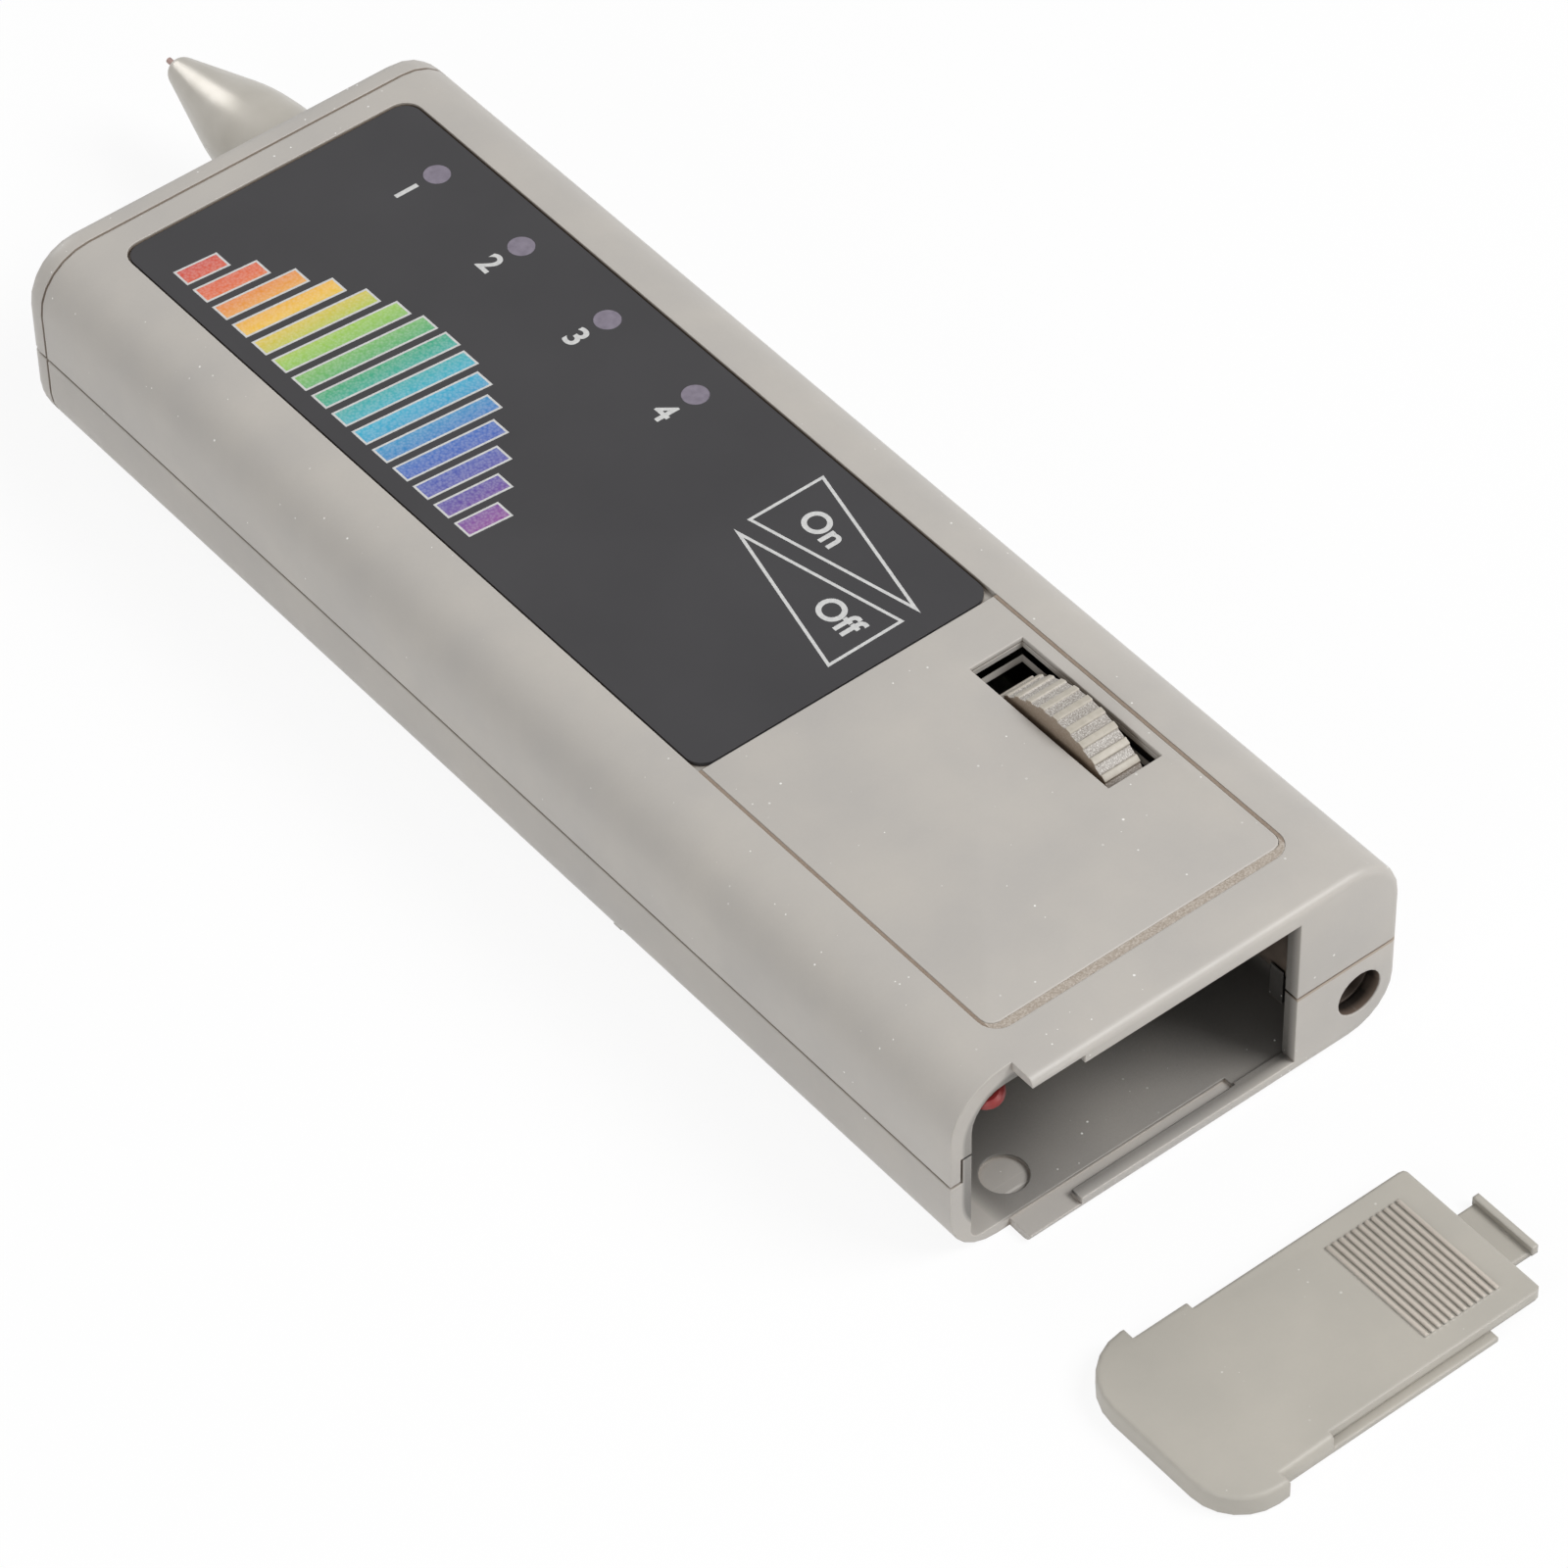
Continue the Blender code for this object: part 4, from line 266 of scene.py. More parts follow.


# Colours of the case's grain, dust, wear and stains, and of the shade and light painted on it
FLECK_COLOUR = srgb(168, 160, 150)
EDGE_WEAR_AND_HIGHLIGHT = srgb(217, 211, 202)
PAINTED_JOINT_SHADE = srgb(122, 102, 82)
DUST_COLOUR = srgb(248, 247, 244)
RUB_COLOUR = srgb(226, 224, 220)
SCRATCH_COLOUR = srgb(232, 228, 222)
STAIN_COLOUR = srgb(148, 130, 112)
PAINTED_HOLE_SHADE = srgb(122, 106, 94)
PAINTED_GRIP_LIGHT = srgb(203, 192, 180)

# Colours of the scale, from red to violet
SPECTRUM = [
    (0.0, srgb(196, 44, 40)),
    (0.12, srgb(222, 98, 40)),
    (0.25, srgb(240, 190, 60)),
    (0.36, srgb(150, 196, 70)),
    (0.48, srgb(40, 160, 110)),
    (0.6, srgb(40, 170, 200)),
    (0.74, srgb(44, 96, 180)),
    (0.87, srgb(84, 60, 150)),
    (1.0, srgb(150, 60, 140)),
]


# Material helpers
class Shader:
    """A node material with a principled surface, built a node at a time."""

    def __init__(self, name):
        self.material = bpy.data.materials.new(name)
        self.material.use_nodes = True
        self.tree = self.material.node_tree
        self.surface = self.tree.nodes["Principled BSDF"]
        self.place = self.add("ShaderNodeTexCoord").outputs["Object"]

    def add(self, kind, **values):
        """A new node with some of its settings."""
        node = self.tree.nodes.new(kind)
        for name, value in values.items():
            setattr(node, name, value)
        return node

    def put(self, socket, value):
        """Sets a socket to a value, or links it to another node's output."""
        if isinstance(value, bpy.types.NodeSocket):
            self.tree.links.new(value, socket)
        else:
            socket.default_value = value

    def set(self, **values):
        """Sets the surface's own sockets by name."""
        for name, value in values.items():
            self.put(self.surface.inputs[name.replace("_", " ").title().replace("Ior", "IOR")], value)

    def math(self, operation, first, second=0):
        """The result of a sum, product or comparison of two numbers."""
        node = self.add("ShaderNodeMath", operation=operation)
        self.put(node.inputs[0], first)
        self.put(node.inputs[1], second)
        return node.outputs[0]

    def vector(self, operation, first, second=(0, 0, 0)):
        """The result of a sum or product of places or directions, or a length."""
        node = self.add("ShaderNodeVectorMath", operation=operation)
        self.put(node.inputs[0], first)
        self.put(node.inputs[1], second)
        return node.outputs["Value" if operation in ("LENGTH", "DOT_PRODUCT") else "Vector"]

    def split(self, value):
        """The three numbers of a place or direction, named X, Y and Z."""
        node = self.add("ShaderNodeSeparateXYZ")
        self.put(node.inputs[0], value)
        return node.outputs

    def noise(self, size, detail, stretch=None):
        """Noise whose grains are about size across."""
        node = self.add("ShaderNodeTexNoise")
        place = self.vector("MULTIPLY", self.place, stretch) if stretch else self.place
        self.put(node.inputs["Vector"], place)
        node.inputs["Scale"].default_value = 1 / size
        node.inputs["Detail"].default_value = detail
        return node.outputs["Fac"]

    def ramp(self, value, stops):
        """A colour ramp from pairs of place and colour or grey."""
        node = self.add("ShaderNodeValToRGB")
        self.put(node.inputs["Fac"], value)
        elements = node.color_ramp.elements
        while len(elements) < len(stops):
            elements.new(0.5)
        for element, (place, colour) in zip(elements, stops):
            element.position = place
            element.color = colour if isinstance(colour, tuple) else (colour, colour, colour, 1)
        return node.outputs["Color"]

    def cloudy(self, size, detail, dark, light):
        """Two close shades of one colour in soft patches."""
        return self.ramp(self.noise(size, detail), [(0.3, srgb(*dark)), (0.7, srgb(*light))])

    def mix(self, share, first, second, blend="MIX"):
        """The first colour with a share of the second one."""
        node = self.add("ShaderNodeMix", data_type="RGBA", blend_type=blend)
        self.put(node.inputs["Factor"], share)
        self.put(node.inputs[6], first)
        self.put(node.inputs[7], second)
        return node.outputs[2]

    def between(self, value, low, high):
        """A value from 0 to 1 spread from low to high."""
        node = self.add("ShaderNodeMapRange")
        self.put(node.inputs["Value"], value)
        node.inputs["To Min"].default_value = low
        node.inputs["To Max"].default_value = high
        return node.outputs["Result"]

    def fading(self, value, start, end):
        """1 from end on, 0 up to start, and a straight slope between the two."""
        node = self.add("ShaderNodeMapRange")
        self.put(node.inputs["Value"], value)
        node.inputs["From Min"].default_value = start
        node.inputs["From Max"].default_value = end
        return node.outputs["Result"]

    def within(self, low, high, soft, end_soft=None, corner=0.0):
        """1 inside a box whose edges along Y may be rounded, and 0 outside it, over soft widths."""
        low, high = Vector(low), Vector(high)
        reach = (high - low) / 2 - Vector((corner, 0, corner))
        away = self.vector("ABSOLUTE", self.vector("SUBTRACT", self.place, (low + high) / 2))
        beyond = self.vector("SUBTRACT", away, reach)
        part = self.split(beyond)
        outer = self.vector("LENGTH", self.vector("MULTIPLY", self.vector("MAXIMUM", beyond), (1, 0, 1)))
        inner = self.math("MINIMUM", self.math("MAXIMUM", part["X"], part["Z"]), 0)
        sides = self.fading(self.math("ADD", outer, inner), corner, corner - soft)
        ends = self.fading(part["Y"], 0, -(end_soft or soft))
        return self.math("MULTIPLY", sides, ends)

    def crevice(self, depth):
        """1 in the open, towards 0 in corners that are narrower than depth."""
        node = self.add("ShaderNodeAmbientOcclusion", samples=6)
        node.inputs["Distance"].default_value = depth
        return node.outputs["AO"]

    def hollow(self):
        """1 on the case's outside, and small on the faces inside it that light hardly reaches."""
        low = CASE_LOW + Vector((CASE_WALL, 0, FLOOR_WALL))
        high = CASE_HIGH - Vector((CASE_WALL, 0, CASE_WALL))
        inside = self.within(low, high, HOLLOW_SOFT, HOLLOW_END, INNER_CORNER)
        return self.mix(inside, (1, 1, 1, 1), self.ramp(self.crevice(HOLLOW_DEPTH), HOLLOW_SHADE))

    def softened_normal(self, radius):
        """The surface's direction, as if its edges were rounded."""
        node = self.add("ShaderNodeBevel", samples=6)
        node.inputs["Radius"].default_value = radius
        return node.outputs["Normal"]

    def edges(self, radius):
        """1 along outer edges and 0 on flat faces."""
        flat = self.add("ShaderNodeNewGeometry").outputs["True Normal"]
        same = self.vector("DOT_PRODUCT", self.softened_normal(radius), flat)
        return self.ramp(same, [(0.8, 1.0), (0.985, 0.0)])

    def specks(self, cell, largest, share):
        """1 on scattered specks of different sizes."""
        cells = self.add("ShaderNodeTexVoronoi")
        cells.inputs["Scale"].default_value = 1 / cell
        self.put(cells.inputs["Vector"], self.place)
        draws = self.add("ShaderNodeSeparateColor")
        self.put(draws.inputs[0], cells.outputs["Color"])
        size = self.math("MULTIPLY", draws.outputs[0], largest / cell)
        kept = self.math("LESS_THAN", draws.outputs[1], share)
        return self.math("MULTIPLY", self.math("LESS_THAN", cells.outputs["Distance"], size), kept)

    def dust(self):
        """1 on small specks in loose groups."""
        group = self.ramp(self.noise(DUST_GROUP, 2), [(0.46, 0.0), (0.58, 1.0)])
        return self.math("MULTIPLY", self.specks(DUST_CELL, DUST_SPECK, 0.8), group)

    def relief(self, *layers, rounding=EDGE_ROUNDING):
        """Bumps from pairs of height field and depth, on edges that are rounded a little."""
        normal = self.softened_normal(rounding) if rounding else None
        for height, depth in layers:
            bump = self.add("ShaderNodeBump")
            bump.inputs["Distance"].default_value = depth
            self.put(bump.inputs["Height"], height)
            if normal:
                self.put(bump.inputs["Normal"], normal)
            normal = bump.outputs["Normal"]
        self.put(self.surface.inputs["Normal"], normal)


def case_plastic(name="case_plastic", joint=CASE_JOINT, joint_shade=0.95, deep=True, edge=CASE_EDGE,
                 rounding=EDGE_ROUNDING, shades=((182, 178, 173), (191, 186, 179)), dusty=0.85, lit_grip=None):
    """Beige-grey moulded plastic: fine grain, cloudy gloss, brown painted shade in joints, pale edges that
    are partly wear and partly painted highlight, a little dust, and painted light on the crests of the
    cover's ribs.
    """
    shader = Shader(name)
    colour = shader.cloudy(CASE_CLOUD, 4, *shades)
    colour = shader.mix(shader.between(shader.noise(CASE_FLECK, 2), 0.0, 0.14), colour, FLECK_COLOUR)
    # Painted light: the crests of the cover's ribs paler than the plate between them
    if lit_grip:
        rib_top_light = shader.math("MULTIPLY", shader.within(*lit_grip, GRIP_SOFT), 0.8)
        colour = shader.mix(rib_top_light, colour, PAINTED_GRIP_LIGHT)
    corner = shader.crevice(joint)
    # Pale outer edges, partly wear and partly painted highlight, kept out of corners and broken up by noise
    pale = shader.math("MULTIPLY", shader.edges(edge), shader.ramp(corner, [(0.8, 0.0), (0.93, 1.0)]))
    pale = shader.math("MULTIPLY", pale, shader.between(shader.noise(CASE_RUB, 4), 0.3, 1.0))
    colour = shader.mix(pale, colour, EDGE_WEAR_AND_HIGHLIGHT)
    # Brown painted shade in joints and corners, stronger where the occlusion is smaller
    colour = shader.mix(shader.ramp(corner, [(0.12, joint_shade), (0.75, 0.0)]), colour, PAINTED_JOINT_SHADE)
    # Wear and stains, and painted shade in the hole and inside the case
    if deep:
        colour = worn(shader, colour)
    colour = shader.mix(shader.math("MULTIPLY", shader.dust(), dusty), colour, DUST_COLOUR)
    shader.set(base_color=colour, roughness=shader.between(shader.noise(CASE_SHEEN, 4), 0.36, 0.5))
    pits, waves = shader.noise(CASE_PIT, 2), shader.noise(CASE_WAVE, 2)
    shader.relief((pits, CASE_PIT_DEPTH), (waves, CASE_WAVE_DEPTH), rounding=rounding)
    return shader.material


def worn(shader, colour):
    """The case's wear and painted shade: rubs on the rear rim, scratches at the sill, a brown stain at the
    seam, brown painted shade in the jack's hole, and painted shade inside.
    """
    left, right = CASE_LOW.x + END_WALL, CASE_HIGH.x - END_WALL
    rim_low = (left, CASE_LOW.y, CASE_HIGH.z - RIM_REACH)
    rim = shader.within(rim_low, (right, CASE_LOW.y + RIM_REACH, CASE_HIGH.z), RIM_REACH / 4)
    rubs = shader.ramp(shader.noise(RUB_GRAIN, 5, (0.5, 1, 1)), [(0.58, 0.0), (0.66, 0.5)])
    colour = shader.mix(shader.math("MULTIPLY", rubs, rim), colour, RUB_COLOUR)
    sill_low = (left, CASE_LOW.y + SCRATCH_START, CASE_LOW.z)
    sill_high = (right, CASE_LOW.y + SCRATCH_REACH, CASE_LOW.z + FLOOR_WALL + SCRATCH_LAYER)
    lines = shader.ramp(shader.noise(SCRATCH_GRAIN, 2, (0.03, 1, 1)), [(0.58, 0.0), (0.64, 0.6)])
    lines = shader.math("MULTIPLY", lines, shader.within(sill_low, sill_high, SCRATCH_LAYER / 2, END_WALL))
    colour = shader.mix(lines, colour, SCRATCH_COLOUR)
    stain_low = (CASE_LOW.x - RIM_REACH, CASE_LOW.y - RIM_REACH, SEAM_HEIGHT - SEAM_STAIN)
    stain_high = (CASE_HIGH.x + RIM_REACH, CASE_LOW.y + END_WALL, SEAM_HEIGHT)
    stain = shader.math("MULTIPLY", shader.within(stain_low, stain_high, SEAM_BEVEL / 2), 0.7)
    colour = shader.mix(stain, colour, STAIN_COLOUR)
    # Brown painted shade on the walls of the jack's hole
    around = Vector((JACK_HOLE, END_WALL, JACK_HOLE))
    mouth = Vector((JACK_PLACE.x, CASE_LOW.y + END_WALL + HOLE_RIM, JACK_PLACE.z))
    colour = shader.mix(shader.within(mouth - around, mouth + around, HOLE_RIM), colour, PAINTED_HOLE_SHADE)
    # Painted shade on the faces inside the case, darker where the occlusion is smaller
    return shader.mix(1.0, colour, shader.hollow(), "MULTIPLY")


def groove_bed():
    """The rough bottom of the groove round the panel, browner along the sides."""
    shader = Shader("groove_bed")
    grain = shader.noise(BED_GRAIN, 3)
    stops = [(0.35, srgb(158, 146, 133)), (0.5, srgb(172, 161, 149)), (0.65, srgb(190, 181, 170))]
    across = shader.math("ABSOLUTE", shader.split(shader.place)["X"])
    side = shader.math("GREATER_THAN", across, PANEL_HIGH.x)
    colour = shader.mix(shader.math("MULTIPLY", side, 0.75), shader.ramp(grain, stops), srgb(128, 110, 94))
    shader.set(base_color=colour, roughness=0.7)
    shader.relief((grain, BED_DEPTH), rounding=0)
    return shader.material


def wheel_plastic():
    """The wheel's plastic: smooth beige ridges, sparkling grey grooves, brown painted shade on its sides
    and deep in the slot, painted shade and dirt in its corners, and pale edges of wear and painted
    highlight.
    """
    shader = Shader("wheel_plastic")
    outer = (WHEEL_HIGH.z - WHEEL_LOW.z) / 2
    from_middle = shader.vector("SUBTRACT", shader.place, (WHEEL_LOW + WHEEL_HIGH) / 2)
    from_axle = shader.vector("LENGTH", shader.vector("MULTIPLY", from_middle, (0, 1, 1)))
    on_ridge = shader.math("GREATER_THAN", from_axle, outer - WHEEL_RIDGE / 2)
    grain = shader.noise(WHEEL_GRAIN, 3)
    stops = [(0.36, srgb(140, 133, 126)), (0.5, srgb(162, 156, 149)), (0.64, srgb(206, 202, 196))]
    smooth = shader.cloudy(WHEEL_CLOUD, 3, (176, 169, 156), (188, 181, 169))
    colour = shader.mix(on_ridge, shader.ramp(grain, stops), smooth)
    # Brown painted shade on the wheel's sides, the faces that point along its axle
    facing = shader.split(shader.add("ShaderNodeTexCoord").outputs["Normal"])
    shaded_side = shader.math("GREATER_THAN", shader.math("ABSOLUTE", facing["X"]), 0.8)
    colour = shader.mix(shader.math("MULTIPLY", shaded_side, 0.8), colour, srgb(146, 128, 109))
    corner = shader.crevice(WHEEL_JOINT)
    # Pale edges, partly wear and partly painted highlight
    pale = shader.math("MULTIPLY", shader.edges(WHEEL_EDGE), shader.ramp(corner, [(0.8, 0.0), (0.95, 0.8)]))
    colour = shader.mix(pale, colour, srgb(214, 208, 196))
    # Painted shade and brown dirt in the corners between the ridges
    colour = shader.mix(shader.ramp(corner, [(0.3, 0.7), (0.85, 0.0)]), colour, srgb(118, 100, 82))
    # Dark brown painted shade on the parts of the wheel deep in its slot
    deep = shader.ramp(shader.crevice(WHEEL_HOLLOW), [(0.1, 0.95), (0.55, 0.0)])
    colour = shader.mix(deep, colour, srgb(104, 84, 66))
    shader.set(base_color=colour, roughness=shader.between(grain, 0.36, 0.5))
    shader.relief((grain, WHEEL_DEPTH), rounding=WHEEL_ROUNDING)
    return shader.material


def label_film():
    """Dark printed film: satin, with a faint fine grain under it."""
    shader = Shader("label_film")
    colour = shader.cloudy(FILM_CLOUD, 3, (57, 56, 58), (63, 62, 64))
    grain = shader.noise(FILM_GRAIN, 3)
    shader.set(base_color=colour, roughness=shader.between(grain, 0.26, 0.34), specular_ior_level=0.25)
    shader.relief((grain, FILM_DEPTH), rounding=FILM_ROUNDING)
    return shader.material


def window_film():
    """Grey-violet satin dots over the lamps."""
    shader = Shader("window_film")
    colour = shader.cloudy(WINDOW_CLOUD, 3, (116, 108, 122), (132, 124, 138))
    shader.set(base_color=colour, roughness=shader.between(shader.noise(WINDOW_SHEEN, 2), 0.3, 0.42))
    shader.relief((shader.noise(WINDOW_GRAIN, 2), WINDOW_DEPTH), rounding=FILM_ROUNDING)
    return shader.material


def probe_paint():
    """Light satin lacquer on the nose, smooth, with a faint cloud and brown painted shade in its corners.
    """
    shader = Shader("probe_paint")
    colour = shader.cloudy(PAINT_CLOUD, 2, (180, 175, 165), (189, 184, 175))
    # Brown painted shade in corners near the nose, stronger where the occlusion is smaller
    joint = shader.ramp(shader.crevice(PAINT_JOINT), [(0.2, 0.7), (0.9, 0.0)])
    colour = shader.mix(joint, colour, srgb(116, 102, 86))
    roughness = shader.between(shader.noise(PAINT_SHEEN, 2), 0.26, 0.32)
    shader.set(base_color=colour, roughness=roughness, metallic=0.3)
    shader.relief((shader.noise(PAINT_WAVE, 2), PAINT_DEPTH))
    return shader.material


def bare_metal(name, dark, light, rough):
    """Bare metal with fine lines of wear."""
    shader = Shader(name)
    colour = shader.cloudy(METAL_CLOUD, 4, dark, light)
    roughness = shader.between(shader.noise(METAL_LINE, 3), rough - SMOOTHER, rough + ROUGHER)
    shader.set(base_color=colour, metallic=1.0, roughness=roughness)
    shader.relief((shader.noise(METAL_LINE, 3, (1, 1, 12)), METAL_DEPTH), rounding=SMALL_ROUNDING)
    return shader.material


def plain_body(name, dark, light, rough):
    """A moulded or coated part with small colour changes and a fine grain."""
    shader = Shader(name)
    colour = shader.cloudy(BODY_CLOUD, 4, dark, light)
    roughness = shader.between(shader.noise(BODY_CLOUD / 3, 3), rough - SMOOTHER, rough + ROUGHER)
    shader.set(base_color=colour, roughness=roughness)
    shader.relief((shader.noise(BODY_CLOUD / 5, 3), BODY_DEPTH), rounding=SMALL_ROUNDING)
    return shader.material


def print_white():
    """Silver-white screen print with slightly uneven ink."""
    shader = Shader("print_white")
    colour = shader.cloudy(INK_CLOUD, 3, (196, 196, 196), (216, 216, 214))
    shader.set(base_color=colour, roughness=shader.between(shader.noise(INK_SHEEN, 2), 0.35, 0.5))
    shader.relief((shader.noise(INK_GRAIN, 2), INK_DEPTH), rounding=0)
    return shader.material


def print_spectrum():
    """Rainbow ink that runs from red to violet along the label, with a fine dot screen."""
    shader = Shader("print_spectrum")
    along = shader.fading(shader.split(shader.place)["Y"], SPECTRUM_START, SPECTRUM_END)
    dots = shader.add("ShaderNodeTexVoronoi")
    dots.inputs["Scale"].default_value = 1 / INK_DOT
    shader.put(dots.inputs["Vector"], shader.place)
    pale = shader.between(dots.outputs["Distance"], 0.2, 0.0)
    colour = shader.mix(pale, shader.ramp(along, SPECTRUM), (1, 1, 1, 1))
    shader.set(base_color=colour, roughness=shader.between(shader.noise(INK_SHEEN, 2), 0.3, 0.42))
    shader.relief((shader.noise(INK_GRAIN, 2), INK_DEPTH), rounding=0)
    return shader.material


# Metals and plain bodies: dark shade, light shade and roughness
METALS = {
    "copper": ((156, 134, 128), (176, 154, 148), 0.45),
    "steel": ((150, 150, 150), (190, 190, 188), 0.3),
}
PLAIN_BODIES = {
    "board_laminate": ((38, 84, 50), (46, 98, 58), 0.38),
    "black_plastic": ((30, 30, 31), (40, 40, 41), 0.45),
    "lamp_resin": ((196, 196, 200), (214, 214, 218), 0.2),
    "part_body": ((128, 96, 60), (150, 116, 76), 0.42),
    "insulator": ((206, 200, 186), (222, 216, 204), 0.5),
    "jack_plastic": ((92, 82, 74), (112, 100, 90), 0.5),
    "red_rubber": ((132, 38, 38), (150, 52, 50), 0.45),
    "black_rubber": ((24, 24, 25), (34, 34, 35), 0.45),
}

# All finishes by name
# Box round the crests of the cover's ribs, which get painted light
GRIP_LIGHT_BOX = (
    (COVER_LOW.x, COVER_LOW.y, COVER_HIGH.z - GRIP_TOPS),
    (COVER_HIGH.x, COVER_HIGH.y, COVER_HIGH.z + GRIP_TOPS),
)
MATERIALS = {
    "case_plastic": case_plastic(),
    "panel_plastic": case_plastic("panel_plastic", PANEL_JOINT, 0.6, deep=False, edge=PANEL_EDGE),
    "cover_plastic": case_plastic(
        "cover_plastic", COVER_JOINT, 0.15, deep=False, rounding=COVER_ROUNDING,
        shades=((178, 174, 165), (187, 182, 172)), dusty=0.35, lit_grip=GRIP_LIGHT_BOX,
    ),
    "groove_bed": groove_bed(),
    "wheel_plastic": wheel_plastic(),
    "label_film": label_film(),
    "window_film": window_film(),
    "probe_paint": probe_paint(),
    "print_white": print_white(),
    "print_spectrum": print_spectrum(),
}
MATERIALS.update({name: bare_metal(name, *look) for name, look in METALS.items()})
MATERIALS.update({name: plain_body(name, *look) for name, look in PLAIN_BODIES.items()})


# Camera
def make_camera():
    """The camera that sees the object from above its rear left corner, as the picture shows it."""
    camera = bpy.data.objects.new("camera", bpy.data.cameras.new("camera"))
    bpy.context.scene.collection.objects.link(camera)
    camera.location = CAMERA_PLACE
    camera.rotation_euler = [math.radians(angle) for angle in CAMERA_TURN]
    camera.data.lens = CAMERA_LENS
    camera.data.sensor_width = SENSOR_WIDTH
    camera.data.clip_start = NEAREST_SEEN
    bpy.context.scene.camera = camera
    bpy.context.scene.view_settings.view_transform = "Standard"


# Studio
def seen_directly(tree):
    """1 for what the camera, mirrors and glass see, and 0 for light on its way to the object."""
    path = tree.nodes.new("ShaderNodeLightPath")
    seen = path.outputs["Is Camera Ray"]
    for name in ("Is Glossy Ray", "Is Transmission Ray"):
        both = tree.nodes.new("ShaderNodeMath")
        both.operation = "MAXIMUM"
        tree.links.new(seen, both.inputs[0])
        tree.links.new(path.outputs[name], both.inputs[1])
        seen = both.outputs[0]
    return seen


def seen_white(tree, plain, white_share):
    """Mixes white into what is seen directly, and leaves the light on the object alone."""
    share = tree.nodes.new("ShaderNodeMath")
    share.operation = "MULTIPLY"
    share.inputs[1].default_value = white_share
    tree.links.new(seen_directly(tree), share.inputs[0])
    white = tree.nodes.new("ShaderNodeEmission")
    white.inputs["Strength"].default_value = 1.0
    mixed = tree.nodes.new("ShaderNodeMixShader")
    tree.links.new(share.outputs[0], mixed.inputs["Fac"])
    tree.links.new(plain, mixed.inputs[1])
    tree.links.new(white.outputs[0], mixed.inputs[2])
    return mixed.outputs[0]


def make_world():
    """Even light from all round, and a white background."""
    world = bpy.data.worlds.new("studio")
    bpy.context.scene.world = world
    world.use_nodes = True
    tree = world.node_tree
    background = tree.nodes["Background"]
    background.inputs["Color"].default_value = (1, 1, 1, 1)
    background.inputs["Strength"].default_value = WORLD_LIGHT
    surface = tree.nodes["World Output"].inputs["Surface"]
    tree.links.new(seen_white(tree, background.outputs[0], 1.0), surface)


def floor_paint():
    """Matt white that glows where it is seen, so that only faint shadows show."""
    material = bpy.data.materials.new("floor")
    material.use_nodes = True
    tree = material.node_tree
    paint = tree.nodes["Principled BSDF"]
    paint.inputs["Roughness"].default_value = FLOOR_ROUGHNESS
    paint.inputs["Specular IOR Level"].default_value = 0.0
    grey = tree.nodes.new("ShaderNodeMapRange")
    grey.inputs["To Min"].default_value = FLOOR_BOUNCE
    grey.inputs["To Max"].default_value = FLOOR_SEEN
    tree.links.new(seen_directly(tree), grey.inputs["Value"])
    tree.links.new(grey.outputs["Result"], paint.inputs["Base Color"])
    surface = tree.nodes["Material Output"].inputs["Surface"]
    tree.links.new(seen_white(tree, paint.outputs[0], FLOOR_WHITE_SHARE), surface)
    return material


def make_floor():
    """The white table that the object lies on."""
    half = FLOOR_SIZE / 2
    mesh = bpy.data.meshes.new("floor")
    corners = [(-half, -half, 0), (half, -half, 0), (half, half, 0), (-half, half, 0)]
    mesh.from_pydata(corners, [], [(0, 1, 2, 3)])
    mesh.materials.append(floor_paint())
    floor = bpy.data.objects.new("floor", mesh)
    floor.location.z = -FLOOR_DROP
    bpy.context.scene.collection.objects.link(floor)


def make_lamp(name, place, size, watts):
    """A square soft light that faces the middle of the object."""
    light = bpy.data.lights.new(name, "AREA")
    light.shape = "SQUARE"
    light.size = size
    light.energy = watts
    holder = bpy.data.objects.new(name, light)
    holder.location = place
    holder.rotation_euler = (-Vector(place)).to_track_quat("-Z", "Y").to_euler()
    bpy.context.scene.collection.objects.link(holder)


# Outlines
def bend(centre, radius, start, end, steps=8):
    """Points of an arc between two angles in degrees."""
    angles = [math.radians(start + (end - start) * step / steps) for step in range(steps + 1)]
    turns = [(math.cos(angle), math.sin(angle)) for angle in angles]
    return [(centre[0] + radius * across, centre[1] + radius * along) for across, along in turns]


def ring(centre, radius, steps=48):
    """A round outline."""
    return bend(centre, radius, 0, 360, steps)[:-1]


def rounded(low, high, radius, steps=10):
    """A rectangle with round corners."""
    left, right = low[0] + radius, high[0] - radius
    rear, front = low[1] + radius, high[1] - radius
    corners = ((right, rear, -90), (right, front, 0), (left, front, 90), (left, rear, 180))
    return [point for x, y, start in corners for point in bend((x, y), radius, start, start + 90, steps)]


def inset(outline, width):
    """A convex outline moved inwards by a width, whichever way round it runs."""
    points = [Vector(point) for point in outline]
    middle = sum(points, Vector((0, 0))) / len(points)
    moved = []
    for before, here, after in zip(points[-1:] + points[:-1], points, points[1:] + points[:1]):
        normals = []
        for start, end in ((before, here), (here, after)):
            along = (end - start).normalized()
            normal = Vector((-along.y, along.x))
            if normal.dot(middle - here) < 0:
                normal = -normal
            normals.append(normal)
        share = width / (1 + normals[0].dot(normals[1]))
        moved.append(tuple(here + (normals[0] + normals[1]) * share))
    return moved


# Pieces made from outlines and text
def as_mesh(name, curve):
    """The mesh of a curve or text, made with an object that is then removed."""
    holder = bpy.data.objects.new(name, curve)
    bpy.context.scene.collection.objects.link(holder)
    bpy.context.view_layer.update()
    mesh = bpy.data.meshes.new_from_object(holder.evaluated_get(bpy.context.evaluated_depsgraph_get()))
    bpy.data.objects.remove(holder)
    mesh.name = name
    return mesh


